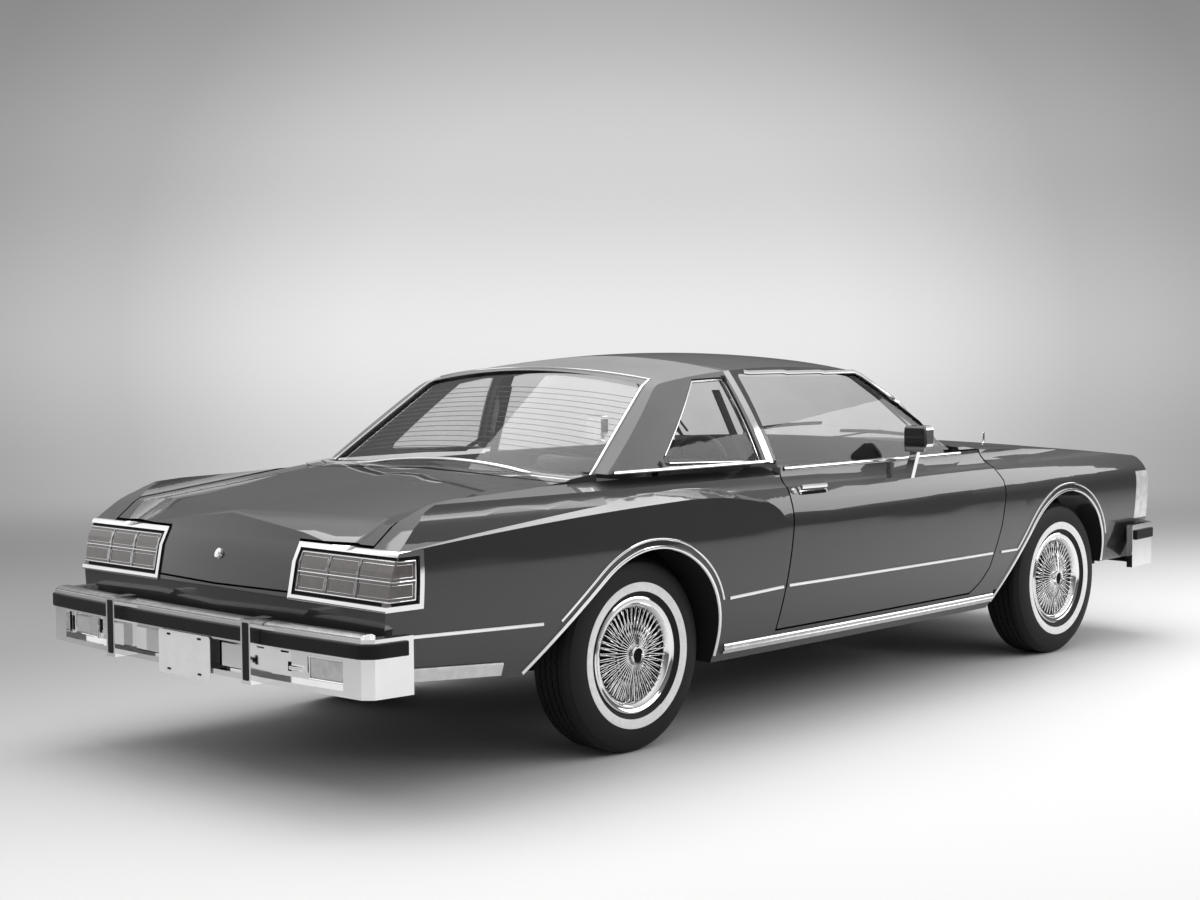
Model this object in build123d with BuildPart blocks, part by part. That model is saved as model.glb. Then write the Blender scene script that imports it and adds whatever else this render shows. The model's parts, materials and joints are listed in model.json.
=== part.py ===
from build123d import *
from math import asin, cos, degrees, radians, sin
import os

os.makedirs("parts", exist_ok=True)

# ---------------------------------------------------------------- driving sizes (mm)
LENGTH = 5184.0        # over the bumper guards and the front bumper
WIDTH = 1862.0         # over the widest crease of the body side
HEIGHT = 1410.0        # ground to the crown of the roof
TYRE_RADIUS = 350.0
TYRE_WIDTH = 206.0
SHUT_GAP = 8.0         # between a door or lid and its neighbours
SKIN = 40.0            # depth of roof, hood and lid with their inner frames

# Stations are drawn for the standard car and stretched to the driving sizes.
STANDARD_LENGTH = 5184.0
STANDARD_WIDTH = 1862.0
STANDARD_HEIGHT = 1410.0


def sx(value):
    """A station along the car."""
    return value * LENGTH / STANDARD_LENGTH


def sy(value):
    """A distance from the middle plane."""
    return value * WIDTH / STANDARD_WIDTH


def sz(value):
    """A height above the ground."""
    return value * HEIGHT / STANDARD_HEIGHT


half_width = WIDTH / 2
side_far = half_width + 60
wheelbase = sx(2863)
rear_axle_x = sx(198) - wheelbase / 2
front_axle_x = sx(198) + wheelbase / 2
front_track = sy(1524)
rear_track = sy(1486)
wheel_z = TYRE_RADIUS
belt_z = sz(973)
sill_top_z = sz(352)
sill_bottom_z = sz(272)
door_bottom_z = sill_top_z + SHUT_GAP

# ---------------------------------------------------------------- shared forms
BOW_X = sx(-52)            # widest station of the body in plan
BODY_BOW = sx(50000)       # radius of the body side in plan
ROOF_BOW = sx(22000)       # radius of the side glass in plan
HOOD_CROWN = sy(14000)     # radius of the hood across the car
ROOF_CROWN = sy(3500)      # radius of the roof across the car
SWING_MARGIN = 1.0         # how far a side form turns past the ends of the car, in degrees


def points(pairs):
    """Side-view outline points."""
    return [(sx(x), sz(z)) for x, z in pairs]


def bowed(section, radius):
    """Revolve a right-half cross-section about a far upright axis, and mirror it."""
    swing = degrees(asin(LENGTH / 2 / radius)) + SWING_MARGIN
    turn = radians(swing)
    far = radius - half_width
    start = Plane(
        origin=(BOW_X - sin(turn) * far, -far + cos(turn) * far, 0),
        x_dir=(-sin(turn), cos(turn), 0),
        z_dir=(cos(turn), sin(turn), 0),
    )
    with BuildPart() as form:
        with BuildSketch(start):
            add(section)
        revolve(axis=Axis((BOW_X, -far, 0), (0, 0, -1)), revolution_arc=2 * swing)
        mirror(about=Plane.XZ)
    return form.part


def crowned(silhouette, radius, top):
    """Revolve a side silhouette about a far axis along the car."""
    swing = degrees(asin(half_width / radius)) + 0.5
    turn = radians(swing)
    low = top - radius
    start = Plane(
        origin=(0, sin(turn) * low, low - cos(turn) * low),
        x_dir=(1, 0, 0),
        z_dir=(0, -cos(turn), -sin(turn)),
    )
    with BuildPart() as form:
        with BuildSketch(start):
            add(silhouette)
        revolve(axis=Axis((0, 0, low), (-1, 0, 0)), revolution_arc=2 * swing)
    return form.part


def prism(outline, y_near, y_far):
    """Extrude a side-view sketch between two distances on the left side."""
    with BuildPart() as form:
        with BuildSketch(Plane.XZ.offset(-y_near)):
            add(outline)
        extrude(amount=-(y_far - y_near))
    return form.part


def block(x0, x1, y0, y1, z0, z1):
    """A plain box between six planes."""
    with BuildPart() as form:
        with Locations(((x0 + x1) / 2, (y0 + y1) / 2, (z0 + z1) / 2)):
            Box(x1 - x0, y1 - y0, z1 - z0)
    return form.part


def barrel(x, z, radius, y0, y1):
    """A cylinder across the car."""
    with BuildPart() as form:
        with BuildSketch(Plane.XZ.offset(-y0)):
            with Locations((x, z)):
                Circle(radius)
        extrude(amount=-(y1 - y0))
    return form.part


def twin(shape):
    """The right-hand copy of a left-hand shape."""
    with BuildPart() as form:
        mirror(shape, about=Plane.XZ)
    return form.part


def both_sides(shape):
    """A left-hand shape with its right-hand copy, as separate solids of one node."""
    with BuildPart() as form:
        add(shape)
        mirror(shape, about=Plane.XZ)
    return form.part


# ---------------------------------------------------------------- lower body form
with BuildSketch() as body_section:
    with BuildLine():
        Polyline((0, sz(240)), (sy(838), sz(240)), (sy(850), sz(285)))
        ThreePointArc((sy(850), sz(285)), (sy(906), sz(500)), (half_width, sz(748)))
        ThreePointArc((half_width, sz(748)), (sy(916), sz(836)), (sy(882), sz(900)))
        ThreePointArc((sy(882), sz(900)), (sy(850), sz(930)), (sy(838), sz(958)))
        Polyline((sy(838), sz(958)), (sy(835), belt_z), (sy(820), sz(1000)), (0, sz(1200)), (0, sz(240)))
    make_face()

with BuildSketch() as body_silhouette:
    with BuildLine():
        Polyline(points([(2490, 240), (-2500, 240), (-2500, 900), (-2345, 948)]))
        ThreePointArc(*points([(-2345, 948), (-1822, 992), (-1330, 1016)]))
        Polyline(points([(-1330, 1016), (900, 1016), (1010, 1000)]))
        ThreePointArc(*points([(1010, 1000), (1700, 965), (2330, 908)]))
        ThreePointArc(*points([(2330, 908), (2430, 880), (2470, 800)]))
        Polyline(points([(2470, 800), (2490, 240)]))
    make_face()

# The tail face leans. Its middle runs back to a crease, and it is straight across behind the lamps.
PROW = 29.0
lamp_inner_y = sy(378)
tail_outline = points([(-2434, 200), (-2434, 640), (-2411, 755), (-2383, 811), (-2340, 915),
                       (-2325, 1100), (2600, 1100), (2600, 200)])
with BuildPart() as tail_form:
    with BuildSketch(Plane.XZ):
        with BuildLine():
            Polyline(*tail_outline, close=True)
        make_face()
    extrude(amount=WIDTH, dir=(PROW / lamp_inner_y, 1, 0))
    mirror(about=Plane.XZ)
    with BuildSketch(Plane.XZ):
        with BuildLine():
            Polyline(*[(x + PROW, z) for x, z in tail_outline], close=True)
        make_face()
    extrude(amount=WIDTH, both=True)

# Above the lamps the ends of the fender tops slope down to the tail.
with BuildPart() as fender_end:
    with BuildSketch(Plane.XZ.offset(-sy(640))):
        with BuildLine():
            Polyline(*points([(-2358, 811), (-2270, 880), (-2190, 925), (-2080, 968),
                              (-2600, 968), (-2600, 811)]), close=True)
        make_face()
    extrude(amount=-sy(400))
    mirror(about=Plane.XZ)

# The deck lies between the two raised fender tops and falls towards the tail, on both sides of
# a low crease along its middle.
DECK_FALL = 0.112
DECK_ROUND = 70.0
deck_front_x = sx(-1330)
deck_front_z = sz(1012)
deck_half_y = sy(775)
deck_edge_z = deck_front_z - sy(26)
with BuildPart() as deck_hollow:
    with BuildSketch(Plane.YZ.offset(deck_front_x)) as deck_section:
        with BuildLine():
            Polyline((0, deck_front_z), (deck_half_y, deck_edge_z), (deck_half_y, 2 * HEIGHT),
                     (-deck_half_y, 2 * HEIGHT), (-deck_half_y, deck_edge_z), (0, deck_front_z))
        make_face()
        fillet(deck_section.vertices().group_by(Axis.Y)[0], DECK_ROUND)
    extrude(amount=LENGTH / 4, dir=(-1, 0, -DECK_FALL))

# Below the deck crease each half of the lid slopes down and back to the lamps, and ends against
# the fender in a hollow.
FACET_FALL = 0.529
FACET_DROP = 0.1315
FACET_ROUND = 90.0
facet_x = sx(-2100)
facet_z = sz(1022)
facet_edge_y = sy(665)
with BuildPart() as facet_hollow:
    with BuildSketch(Plane.YZ.offset(facet_x)) as facet_section:
        with BuildLine():
            facet_edge_z = facet_z - facet_edge_y * FACET_DROP
            Polyline((0, facet_z), (facet_edge_y, facet_edge_z), (facet_edge_y + 165, facet_edge_z + 250),
                     (0, facet_z + 250), (0, facet_z))
        make_face()
        fillet(facet_section.vertices().group_by(Axis.Y)[0], FACET_ROUND)
    extrude(amount=LENGTH / 8, dir=(-1, 0, -FACET_FALL))
    mirror(about=Plane.XZ)

body_crown = crowned(body_silhouette.sketch, HOOD_CROWN, sz(1016))


def body_form(section):
    """The lower body with a given cross-section of its side."""
    with BuildPart() as form:
        add(bowed(section, BODY_BOW))
        add(body_crown, mode=Mode.INTERSECT)
        add(tail_form.part, mode=Mode.INTERSECT)
        add(deck_hollow.part, mode=Mode.SUBTRACT)
        add(facet_hollow.part, mode=Mode.SUBTRACT)
        add(fender_end.part, mode=Mode.SUBTRACT)
    return form.part


lower = body_form(body_section.sketch)

# ---------------------------------------------------------------- haunch over the rear wheel
HAUNCH_RISE = 0.45
with BuildSketch() as haunch_section:
    with BuildLine():
        Polyline((0, sz(240)), (sy(838), sz(240)), (sy(850), sz(285)))
        ThreePointArc((sy(850), sz(285)), (sy(906), sz(500)), (half_width, sz(748)))
        Polyline((half_width, sz(748)), (sy(925), sz(880)), (sy(925), sz(920)), (0, sz(1200)), (0, sz(240)))
    make_face()

with BuildPart() as haunch_cove:
    with BuildSketch(Plane.XZ.offset(-sy(925))):
        with BuildLine():
            ThreePointArc(*points([(-2460, 778), (-1750, 849), (-1085, 888)]))
            ThreePointArc(*points([(-1085, 888), (-850, 886), (-637, 859)]))
            ThreePointArc(*points([(-637, 859), (-530, 825), (-480, 772)]))
            Polyline(points([(-480, 772), (-300, 772), (-300, 1150), (-2460, 1150), (-2460, 778)]))
        make_face()
    extrude(amount=sz(260), dir=(0, -1, HAUNCH_RISE), both=True)
    add(lower, mode=Mode.SUBTRACT)

with BuildPart() as haunched_form:
    add(body_form(haunch_section.sketch))
    add(haunch_cove.part, mode=Mode.SUBTRACT)
haunched = haunched_form.part

# ---------------------------------------------------------------- greenhouse form


def cabin_side(inset):
    """The closed shape between the two leaning sides of the cabin, drawn in by a wall depth."""
    with BuildSketch() as section:
        with BuildLine():
            Polyline((0, sz(900)), (sy(836) - inset, sz(900)), (sy(822) - inset, sz(966)))
            ThreePointArc(
                (sy(822) - inset, sz(966)),
                (sy(741) - inset, sz(1165)),
                (sy(622) - inset, sz(1365)),
            )
            Polyline((sy(622) - inset, sz(1365)), (sy(560) - inset, sz(1450)), (0, sz(1450)), (0, sz(900)))
        make_face()
    return bowed(section.sketch, ROOF_BOW)


def cabin_crown(inset):
    """The closed shape under the windshield, roof and rear window, drawn in by a wall depth."""
    with BuildSketch() as silhouette:
        with BuildLine():
            d = inset * STANDARD_LENGTH / LENGTH
            Polyline(points([(-1594 + 1.77 * d, 900), (-920 + 0.31 * d, 1362 - d)]))
            ThreePointArc(*points([(-920 + 0.31 * d, 1362 - d), (-300, 1410 - d), (362 - 0.3 * d, 1385 - d)]))
            Polyline(points([(362 - 0.3 * d, 1385 - d), (1109 - 1.84 * d, 900), (-1594 + 1.77 * d, 900)]))
        make_face()
        corners = [v for v in silhouette.vertices() if v.Y > sz(1300)]
        fillet(corners, sz(170) - inset)
    return crowned(silhouette.sketch, ROOF_CROWN, HEIGHT)


def greenhouse(inset):
    """The closed shape of the cabin top."""
    with BuildPart() as form:
        add(cabin_side(inset))
        add(cabin_crown(inset), mode=Mode.INTERSECT)
    return form.part


def side_pane(outline):
    """A thin curved pane in the left side of the cabin top."""
    with BuildPart() as pane:
        add(cabin_side(GLASS_DEPTH))
        add(cabin_side(GLASS_DEPTH + GLASS_THICKNESS), mode=Mode.SUBTRACT)
        add(prism(outline, sy(500), side_far), mode=Mode.INTERSECT)
    return pane.part


GLASS_DEPTH = 10.0
GLASS_THICKNESS = 5.0
cabin_top = greenhouse(0)
glass_out = greenhouse(GLASS_DEPTH)
glass_in = greenhouse(GLASS_DEPTH + GLASS_THICKNESS)
cabin_void = greenhouse(SKIN)

# ---------------------------------------------------------------- doors and side openings
door_inner_y = sy(795)
door_hinge_x = sx(988)
door_hinge_y = sy(899)
PIN_RADIUS = 5.0
PIN_CLEARANCE = 0.4
EYE_RADIUS = 10.0
hinge_heights = [sz(640), sz(757)]
cabin_front_x = sx(1115)
firewall_front_x = cabin_front_x + 22


def door_outline(grow):
    """Shut line of the left door, grown by a gap."""
    with BuildSketch() as outline:
        with BuildLine():
            Polyline(points([(994, 466), (1050, 640), (1078, 790), (1078, 838), (990, 973), (-409, 973)]))
            Polyline(points([(-409, 973), (-433, 850), (-445, 720)]))
            Polyline((sx(-445), sz(720)), (sx(-481), door_bottom_z), (sx(866), door_bottom_z))
            ThreePointArc((sx(866), door_bottom_z), (sx(944), door_bottom_z + sz(49)), (sx(994), sz(466)))
        make_face()
        if grow > 0:
            offset(amount=grow)
    return outline.sketch


REAR_ARCH_ROOM = 31.0
FRONT_ARCH_ROOM = 55.0


def rear_arch(grow):
    """Wheel opening of the quarter panel: an arc with a straight trailing edge."""
    radius = TYRE_RADIUS + REAR_ARCH_ROOM + grow
    hub = (rear_axle_x + sx(18), wheel_z)
    touch = radians(130)
    start = (hub[0] + radius * cos(touch), hub[1] + radius * sin(touch))
    run = (start[1] - sz(150)) / cos(radians(50))
    with BuildSketch() as outline:
        with BuildLine():
            end = (start[0] - run * sin(touch), start[1] + run * cos(touch))
            Line(start, end)
            Line(end, (hub[0] + radius, end[1]))
            Line((hub[0] + radius, end[1]), (hub[0] + radius, hub[1]))
            RadiusArc((hub[0] + radius, hub[1]), start, -radius)
        make_face()
    return outline.sketch


def front_arch(grow):
    """Wheel opening of the front fender, with its straight trailing edge."""
    radius = TYRE_RADIUS + FRONT_ARCH_ROOM + grow
    hub = (front_axle_x + sx(15), wheel_z)
    touch = radians(140)
    start = (hub[0] + radius * cos(touch), hub[1] + radius * sin(touch))
    run = (start[1] - sz(150)) / cos(radians(40))
    with BuildSketch() as outline:
        with BuildLine():
            end = (start[0] - run * sin(touch), start[1] + run * cos(touch))
            Line(start, end)
            Line(end, (hub[0] + radius, end[1]))
            Line((hub[0] + radius, end[1]), (hub[0] + radius, hub[1]))
            RadiusArc((hub[0] + radius, hub[1]), start, -radius)
        make_face()
    return outline.sketch


with BuildPart() as door_gap_form:
    add(prism(door_outline(SHUT_GAP), 0, side_far))
    add(block(sx(-481) - SHUT_GAP, sx(866) + SHUT_GAP, 0, side_far, sz(300), door_bottom_z))
door_gap = door_gap_form.part

with BuildPart() as door_left:
    add(prism(door_outline(0), door_inner_y, side_far))
    add(lower, mode=Mode.INTERSECT)
    # the inner box of the door is drawn in at its rear edge, so that it swings out past the pillar
    add(block(sx(-500), sx(-418), door_inner_y - 1, sy(850), sz(300), belt_z + 1), mode=Mode.SUBTRACT)
    for height in hinge_heights:
        pocket = (door_hinge_x - 16, sx(1090), door_inner_y - 1, door_hinge_y + 3, height - 20, height + 20)
        add(block(*pocket), mode=Mode.SUBTRACT)
        with Locations((door_hinge_x, door_hinge_y, height)):
            Cylinder(EYE_RADIUS + 3, 40, mode=Mode.SUBTRACT)
            Cylinder(PIN_RADIUS + PIN_CLEARANCE, 70, mode=Mode.SUBTRACT)
door_right_shape = twin(door_left.part)

with BuildPart() as door_hinge_left:
    for height in hinge_heights:
        with Locations((door_hinge_x, door_hinge_y, height)):
            Cylinder(PIN_RADIUS, 68)
            Cylinder(EYE_RADIUS, 26)
        # the arm lies behind the pin, so that it stays inside the pocket when the door stands open
        low, high = height - 13, height + 13
        arm_back_x = door_hinge_x - EYE_RADIUS
        add(block(arm_back_x, door_hinge_x, door_inner_y - 20, door_hinge_y, low, high))
        add(block(arm_back_x, cabin_front_x, door_inner_y - 20, door_inner_y - 10, low, high))

# ---------------------------------------------------------------- fenders and quarters
fender_inner_y = sy(707)
pillar_foot_z = sz(998)
hood_rear_x = sx(1010)
cowl_front_x = hood_rear_x - SHUT_GAP
nose_x = sx(2395)
wheel_house_radius = TYRE_RADIUS + 75
rear_house_radius = TYRE_RADIUS + 50
house_inner_y = sy(465)
rear_house_inner_y = sy(590)
turn_lamp = block(sx(2342), sx(2600), fender_inner_y, side_far, sz(576), sz(807))

with BuildPart() as fender_left:
    add(lower)
    add(block(sx(850), nose_x, fender_inner_y, side_far, sill_top_z, HEIGHT), mode=Mode.INTERSECT)
    add(door_gap, mode=Mode.SUBTRACT)
    add(block(sx(800), cowl_front_x + 6, 0, sy(785), 0, HEIGHT), mode=Mode.SUBTRACT)
    add(block(sx(800), cowl_front_x + 6, 0, side_far, belt_z, HEIGHT), mode=Mode.SUBTRACT)
    add(block(sx(800), firewall_front_x, 0, sy(785), 0, sz(932)), mode=Mode.SUBTRACT)
    add(barrel(front_axle_x, wheel_z, wheel_house_radius, 0, sy(880)), mode=Mode.SUBTRACT)
    add(prism(front_arch(0), sy(600), side_far), mode=Mode.SUBTRACT)
    add(block(sx(2030), nose_x + 1, 0, sy(1000), 0, sz(388)), mode=Mode.SUBTRACT)
    add(turn_lamp, mode=Mode.SUBTRACT)

quarter_inner_y = sy(745)
shelf_x = sx(-1335)
lid_front_x = sx(-1480)
lid_half_y = sy(735)
tail_x = sx(-2440)
lamp_front_x = sx(-2262)
tail_wall_x = lamp_front_x + 25
lamp_bottom_z = sz(633)
lamp_top_z = sz(818)

with BuildPart() as quarter_left:
    add(haunched)
    add(block(tail_x, sx(-409) - SHUT_GAP, lid_half_y + SHUT_GAP, side_far, sill_top_z, HEIGHT),
        mode=Mode.INTERSECT)
    add(door_gap, mode=Mode.SUBTRACT)
    add(block(tail_x, sx(-300), 0, quarter_inner_y, 0, sz(880)), mode=Mode.SUBTRACT)
    add(block(shelf_x, sx(-300), 0, quarter_inner_y, 0, HEIGHT), mode=Mode.SUBTRACT)
    add(barrel(rear_axle_x, wheel_z, rear_house_radius, 0, sy(885)), mode=Mode.SUBTRACT)
    add(prism(rear_arch(0), sy(600), side_far), mode=Mode.SUBTRACT)
    with BuildSketch(Plane.XZ):
        with BuildLine():
            Polyline(*points([(-2460, 100), (-1500, 100), (-1780, 352), (-1840, 358), (-2460, 415)]),
                     close=True)
        make_face()
    extrude(amount=-side_far, mode=Mode.SUBTRACT)
    add(block(tail_x, lamp_front_x, 0, side_far, lamp_bottom_z, lamp_top_z), mode=Mode.SUBTRACT)

with BuildPart() as sill_left:
    add(lower)
    add(block(sx(-905), sx(1075), sy(740), side_far, sill_bottom_z, sill_top_z), mode=Mode.INTERSECT)
    add(prism(rear_arch(0), sy(600), side_far), mode=Mode.SUBTRACT)
    add(prism(front_arch(0), sy(600), side_far), mode=Mode.SUBTRACT)
    add(barrel(rear_axle_x, wheel_z, rear_house_radius, 0, side_far), mode=Mode.SUBTRACT)
    add(block(sx(-480), sx(1060), sy(740), sy(784), sill_top_z, sz(420)))

# ---------------------------------------------------------------- hood, cowl, deck lid
hood_half_y = fender_inner_y - SHUT_GAP
hood_front_x = sx(2388)
HINGE_ROUND = 40.0
hood_pin_x = hood_rear_x + HINGE_ROUND
hood_pin_z = sz(961)
lid_pin_x = lid_front_x - HINGE_ROUND
lid_pin_z = sz(958)
BIG_PIN = 6.0


def hinge_edge(pin_x, pin_z, edge_x):
    """What lies between a pin line and a lid's edge, outside the round that the edge turns in."""
    with BuildPart() as form:
        low, high = sorted((pin_x, edge_x))
        add(block(low - 1, high + 1, -WIDTH / 2, WIDTH / 2, 0, HEIGHT))
        add(block(*sorted((pin_x, 2 * pin_x - edge_x)), -WIDTH / 2, WIDTH / 2, 0, HEIGHT), mode=Mode.SUBTRACT)
        add(barrel(pin_x, pin_z, HINGE_ROUND, -WIDTH / 2, WIDTH / 2), mode=Mode.SUBTRACT)
    return form.part


with BuildPart() as hood:
    add(lower)
    add(block(hood_rear_x, hood_front_x, -hood_half_y, hood_half_y, sz(860), HEIGHT), mode=Mode.INTERSECT)
    with BuildPart(mode=Mode.SUBTRACT):
        add(lower.moved(Location((0, 0, -SKIN))))
        add(block(hood_rear_x - 1, hood_front_x + 1, -hood_half_y, hood_half_y, 0, HEIGHT),
            mode=Mode.INTERSECT)
    add(hinge_edge(hood_pin_x, hood_pin_z, hood_rear_x), mode=Mode.SUBTRACT)
    with BuildSketch(Plane.XZ.offset(-hood_half_y)):
        with Locations((hood_pin_x, hood_pin_z)):
            Circle(BIG_PIN + PIN_CLEARANCE)
    extrude(amount=40, mode=Mode.SUBTRACT)
    with BuildSketch(Plane.XZ.offset(hood_half_y)):
        with Locations((hood_pin_x, hood_pin_z)):
            Circle(BIG_PIN + PIN_CLEARANCE)
    extrude(amount=-40, mode=Mode.SUBTRACT)

with BuildPart() as cowl:
    add(lower)
    with BuildPart(mode=Mode.INTERSECT):
        add(block(sx(850), cowl_front_x, -sy(785), sy(785), sz(932), HEIGHT))
        # the corners reach out over the front of each door
        add(block(sx(850), cowl_front_x, -half_width, half_width, belt_z + SHUT_GAP, HEIGHT))
    add(block(sx(790), sx(850), -sy(768), sy(768), sz(932), pillar_foot_z + 1))
    # the plenum below is narrower, so that the front edges of the doors swing past it
    add(block(sx(850), cowl_front_x, -sy(770), sy(770), sz(890), sz(933)))
    add(block(sx(850), firewall_front_x, -sy(770), sy(770), sz(890), sz(914)))
    add(block(cabin_front_x, firewall_front_x, -sy(785), sy(785), sz(272), sz(914)))
    add(block(cabin_front_x - 1, cabin_front_x + 40, -sy(140), sy(140), 0, sz(425)), mode=Mode.SUBTRACT)

with BuildPart() as trunk_lid:
    add(lower)
    with BuildPart(mode=Mode.INTERSECT):
        add(block(tail_x, lid_front_x, -lid_half_y, lid_half_y, lamp_top_z + SHUT_GAP, HEIGHT))
        add(block(tail_x, sx(-2200), SHUT_GAP - lamp_inner_y, lamp_inner_y - SHUT_GAP, sz(658), HEIGHT))
    add(lower.moved(Location((SKIN, 0, -SKIN))), mode=Mode.SUBTRACT)
    add(hinge_edge(lid_pin_x, lid_pin_z, lid_front_x), mode=Mode.SUBTRACT)
    for side in (-1, 1):
        with Locations((lid_pin_x, side * (lid_half_y - 15), lid_pin_z)):
            Cylinder(BIG_PIN + PIN_CLEARANCE, 60, rotation=(90, 0, 0), mode=Mode.SUBTRACT)

with BuildPart() as deck_panel:
    add(lower)
    deck_reach = lid_half_y + SHUT_GAP
    add(block(lid_front_x + SHUT_GAP, shelf_x, -deck_reach, deck_reach, sz(930), HEIGHT), mode=Mode.INTERSECT)

with BuildPart() as parcel_shelf:
    add(block(shelf_x, sx(-1120), -quarter_inner_y, quarter_inner_y, sz(932), sz(960)))

with BuildPart() as lid_hinges:
    for side in (-1, 1):
        with Locations((lid_pin_x, side * (lid_half_y + SHUT_GAP - 15), lid_pin_z)):
            Cylinder(BIG_PIN, 30, rotation=(90, 0, 0))

with BuildPart() as hood_hinges:
    for side in (-1, 1):
        with Locations((hood_pin_x, side * (fender_inner_y - 15), hood_pin_z)):
            Cylinder(BIG_PIN, 30, rotation=(90, 0, 0))

# ---------------------------------------------------------------- tail panel and lamps
with BuildPart() as rear_panel:
    add(lower)
    add(block(tail_x, tail_wall_x, -quarter_inner_y, quarter_inner_y, sz(440), sz(651)), mode=Mode.INTERSECT)
    add(block(lamp_front_x, tail_wall_x, -quarter_inner_y, quarter_inner_y, sz(640), sz(815)))
    add(block(tail_x, tail_wall_x + 5, -lamp_inner_y, lamp_inner_y, sz(651), HEIGHT), mode=Mode.SUBTRACT)
    for side in (-1, 1):
        low, high = sorted((side * lamp_inner_y, side * side_far))
        add(block(tail_x, lamp_front_x, low, high, lamp_bottom_z, HEIGHT), mode=Mode.SUBTRACT)

with BuildPart() as tail_lamp_left:
    add(haunched)
    add(block(tail_x, lamp_front_x, lamp_inner_y, side_far, lamp_bottom_z, lamp_top_z), mode=Mode.INTERSECT)

# A bright frame stands proud of the body round each lamp, across the tail and on the side.
BEZEL_WIDTH = 17.0
BEZEL_PROUD = 6.0
with BuildPart() as lamp_bezel_left:
    add(haunched.moved(Location((-BEZEL_PROUD, BEZEL_PROUD, 0))))
    with BuildPart(mode=Mode.INTERSECT):
        add(block(tail_x - BEZEL_PROUD, lamp_front_x, lamp_inner_y, side_far, lamp_bottom_z, lamp_top_z))
        add(block(tail_x - LENGTH, lamp_front_x - BEZEL_WIDTH, lamp_inner_y + BEZEL_WIDTH, LENGTH,
                  lamp_bottom_z + BEZEL_WIDTH, lamp_top_z - BEZEL_WIDTH), mode=Mode.SUBTRACT)
    add(haunched, mode=Mode.SUBTRACT)

# ---------------------------------------------------------------- cabin top
BAND_LEAN = (sx(-495) - sx(-437)) / (sz(1363) - sz(968))
BAND_HALF = sx(18)


def band_outline(x_rear, x_front):
    """A leaning stripe in side view, along the centre pillar."""
    low, high = sz(880), sz(1460)
    foot = sx(-437) + BAND_LEAN * (low - sz(968))
    head = foot + BAND_LEAN * (high - low)
    with BuildSketch() as outline:
        with BuildLine():
            Polyline((foot + x_rear, low), (foot + x_front, low), (head + x_front, high),
                     (head + x_rear, high), (foot + x_rear, low))
        make_face()
    return outline.sketch


def window_outline(corners, radius):
    """A window opening in side view with rounded corners."""
    with BuildSketch() as outline:
        with BuildLine():
            Polyline(*corners, close=True)
        make_face()
        fillet(outline.vertices(), radius)
    return outline.sketch


def glass_front_view(bottom_y, bottom_z, top_y, top_z, x0, x1):
    """A window opening seen along the car, as a prism."""
    with BuildPart() as form:
        with BuildSketch(Plane.YZ.offset(x0)) as outline:
            with BuildLine():
                Polyline((-top_y, top_z), (-bottom_y, bottom_z), (bottom_y, bottom_z), (top_y, top_z))
                ThreePointArc((top_y, top_z), (0, top_z + top_y**2 / 2 / ROOF_CROWN), (-top_y, top_z))
            make_face()
            fillet(outline.vertices().group_by(Axis.Y)[-1], sz(28))
        extrude(amount=x1 - x0)
    return form.part


door_window = window_outline(points([(-398, 940), (-438, 1331), (338, 1318), (905, 940)]), sz(14))
opera_window = window_outline(points([(-1053, 1008), (-480, 988), (-521, 1322), (-713, 1316)]), sz(22))
windshield_cut = glass_front_view(sy(758), sz(960), sy(590), sz(1306), sx(250), sx(1200))
backlight_cut = glass_front_view(sy(728), sz(960), sy(590), sz(1300), sx(-1650), sx(-800))

# The shell of the cabin top is cut on the left half and mirrored.
left_half = block(-LENGTH, LENGTH, 0, LENGTH, 0, 3 * HEIGHT)
with BuildPart() as half_void:
    add(cabin_void)
    add(left_half, mode=Mode.INTERSECT)

with BuildPart() as half_shell:
    add(cabin_top)
    add(left_half, mode=Mode.INTERSECT)
    for window in (door_window, opera_window):
        add(prism(window, -1, side_far), mode=Mode.SUBTRACT)
    add(half_void.part, mode=Mode.SUBTRACT)
    add(windshield_cut, mode=Mode.SUBTRACT)
    add(backlight_cut, mode=Mode.SUBTRACT)

with BuildPart() as half_band:
    add(half_shell.part)
    add(prism(band_outline(-BAND_HALF, BAND_HALF), -1, side_far), mode=Mode.INTERSECT)
    add(lower, mode=Mode.SUBTRACT)

with BuildPart() as half_roof_front:
    add(half_shell.part)
    add(prism(band_outline(BAND_HALF, LENGTH), -1, side_far), mode=Mode.INTERSECT)
    add(block(-LENGTH, LENGTH, -1, side_far, 0, pillar_foot_z + 1), mode=Mode.SUBTRACT)

with BuildPart() as half_roof_rear:
    add(half_shell.part)
    add(prism(band_outline(-LENGTH, -BAND_HALF), -1, side_far), mode=Mode.INTERSECT)
    add(lower, mode=Mode.SUBTRACT)

with BuildPart() as windshield:
    add(glass_out)
    add(glass_in, mode=Mode.SUBTRACT)
    add(windshield_cut, mode=Mode.INTERSECT)
    add(lower, mode=Mode.SUBTRACT)
    add(cowl.part, mode=Mode.SUBTRACT)

with BuildPart() as rear_window:
    add(glass_out)
    add(glass_in, mode=Mode.SUBTRACT)
    add(backlight_cut, mode=Mode.INTERSECT)
    add(lower, mode=Mode.SUBTRACT)

with BuildPart() as opera_left:
    add(side_pane(opera_window))
    add(lower, mode=Mode.SUBTRACT)

GLASS_GAP = SHUT_GAP + 2
with BuildSketch() as door_glass_outline:
    with BuildLine():
        Polyline(*points([(-401, 973), (-438, 1331), (338, 1318), (855, 973)]), close=True)
    make_face()
    offset(amount=-GLASS_GAP)
    with BuildLine():
        Polyline(*points([(-392, 973), (-396, 1010), (760, 1010), (778, 973)]), close=True)
    make_face()
with BuildPart() as door_glass_left:
    add(side_pane(door_glass_outline.sketch))

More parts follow.
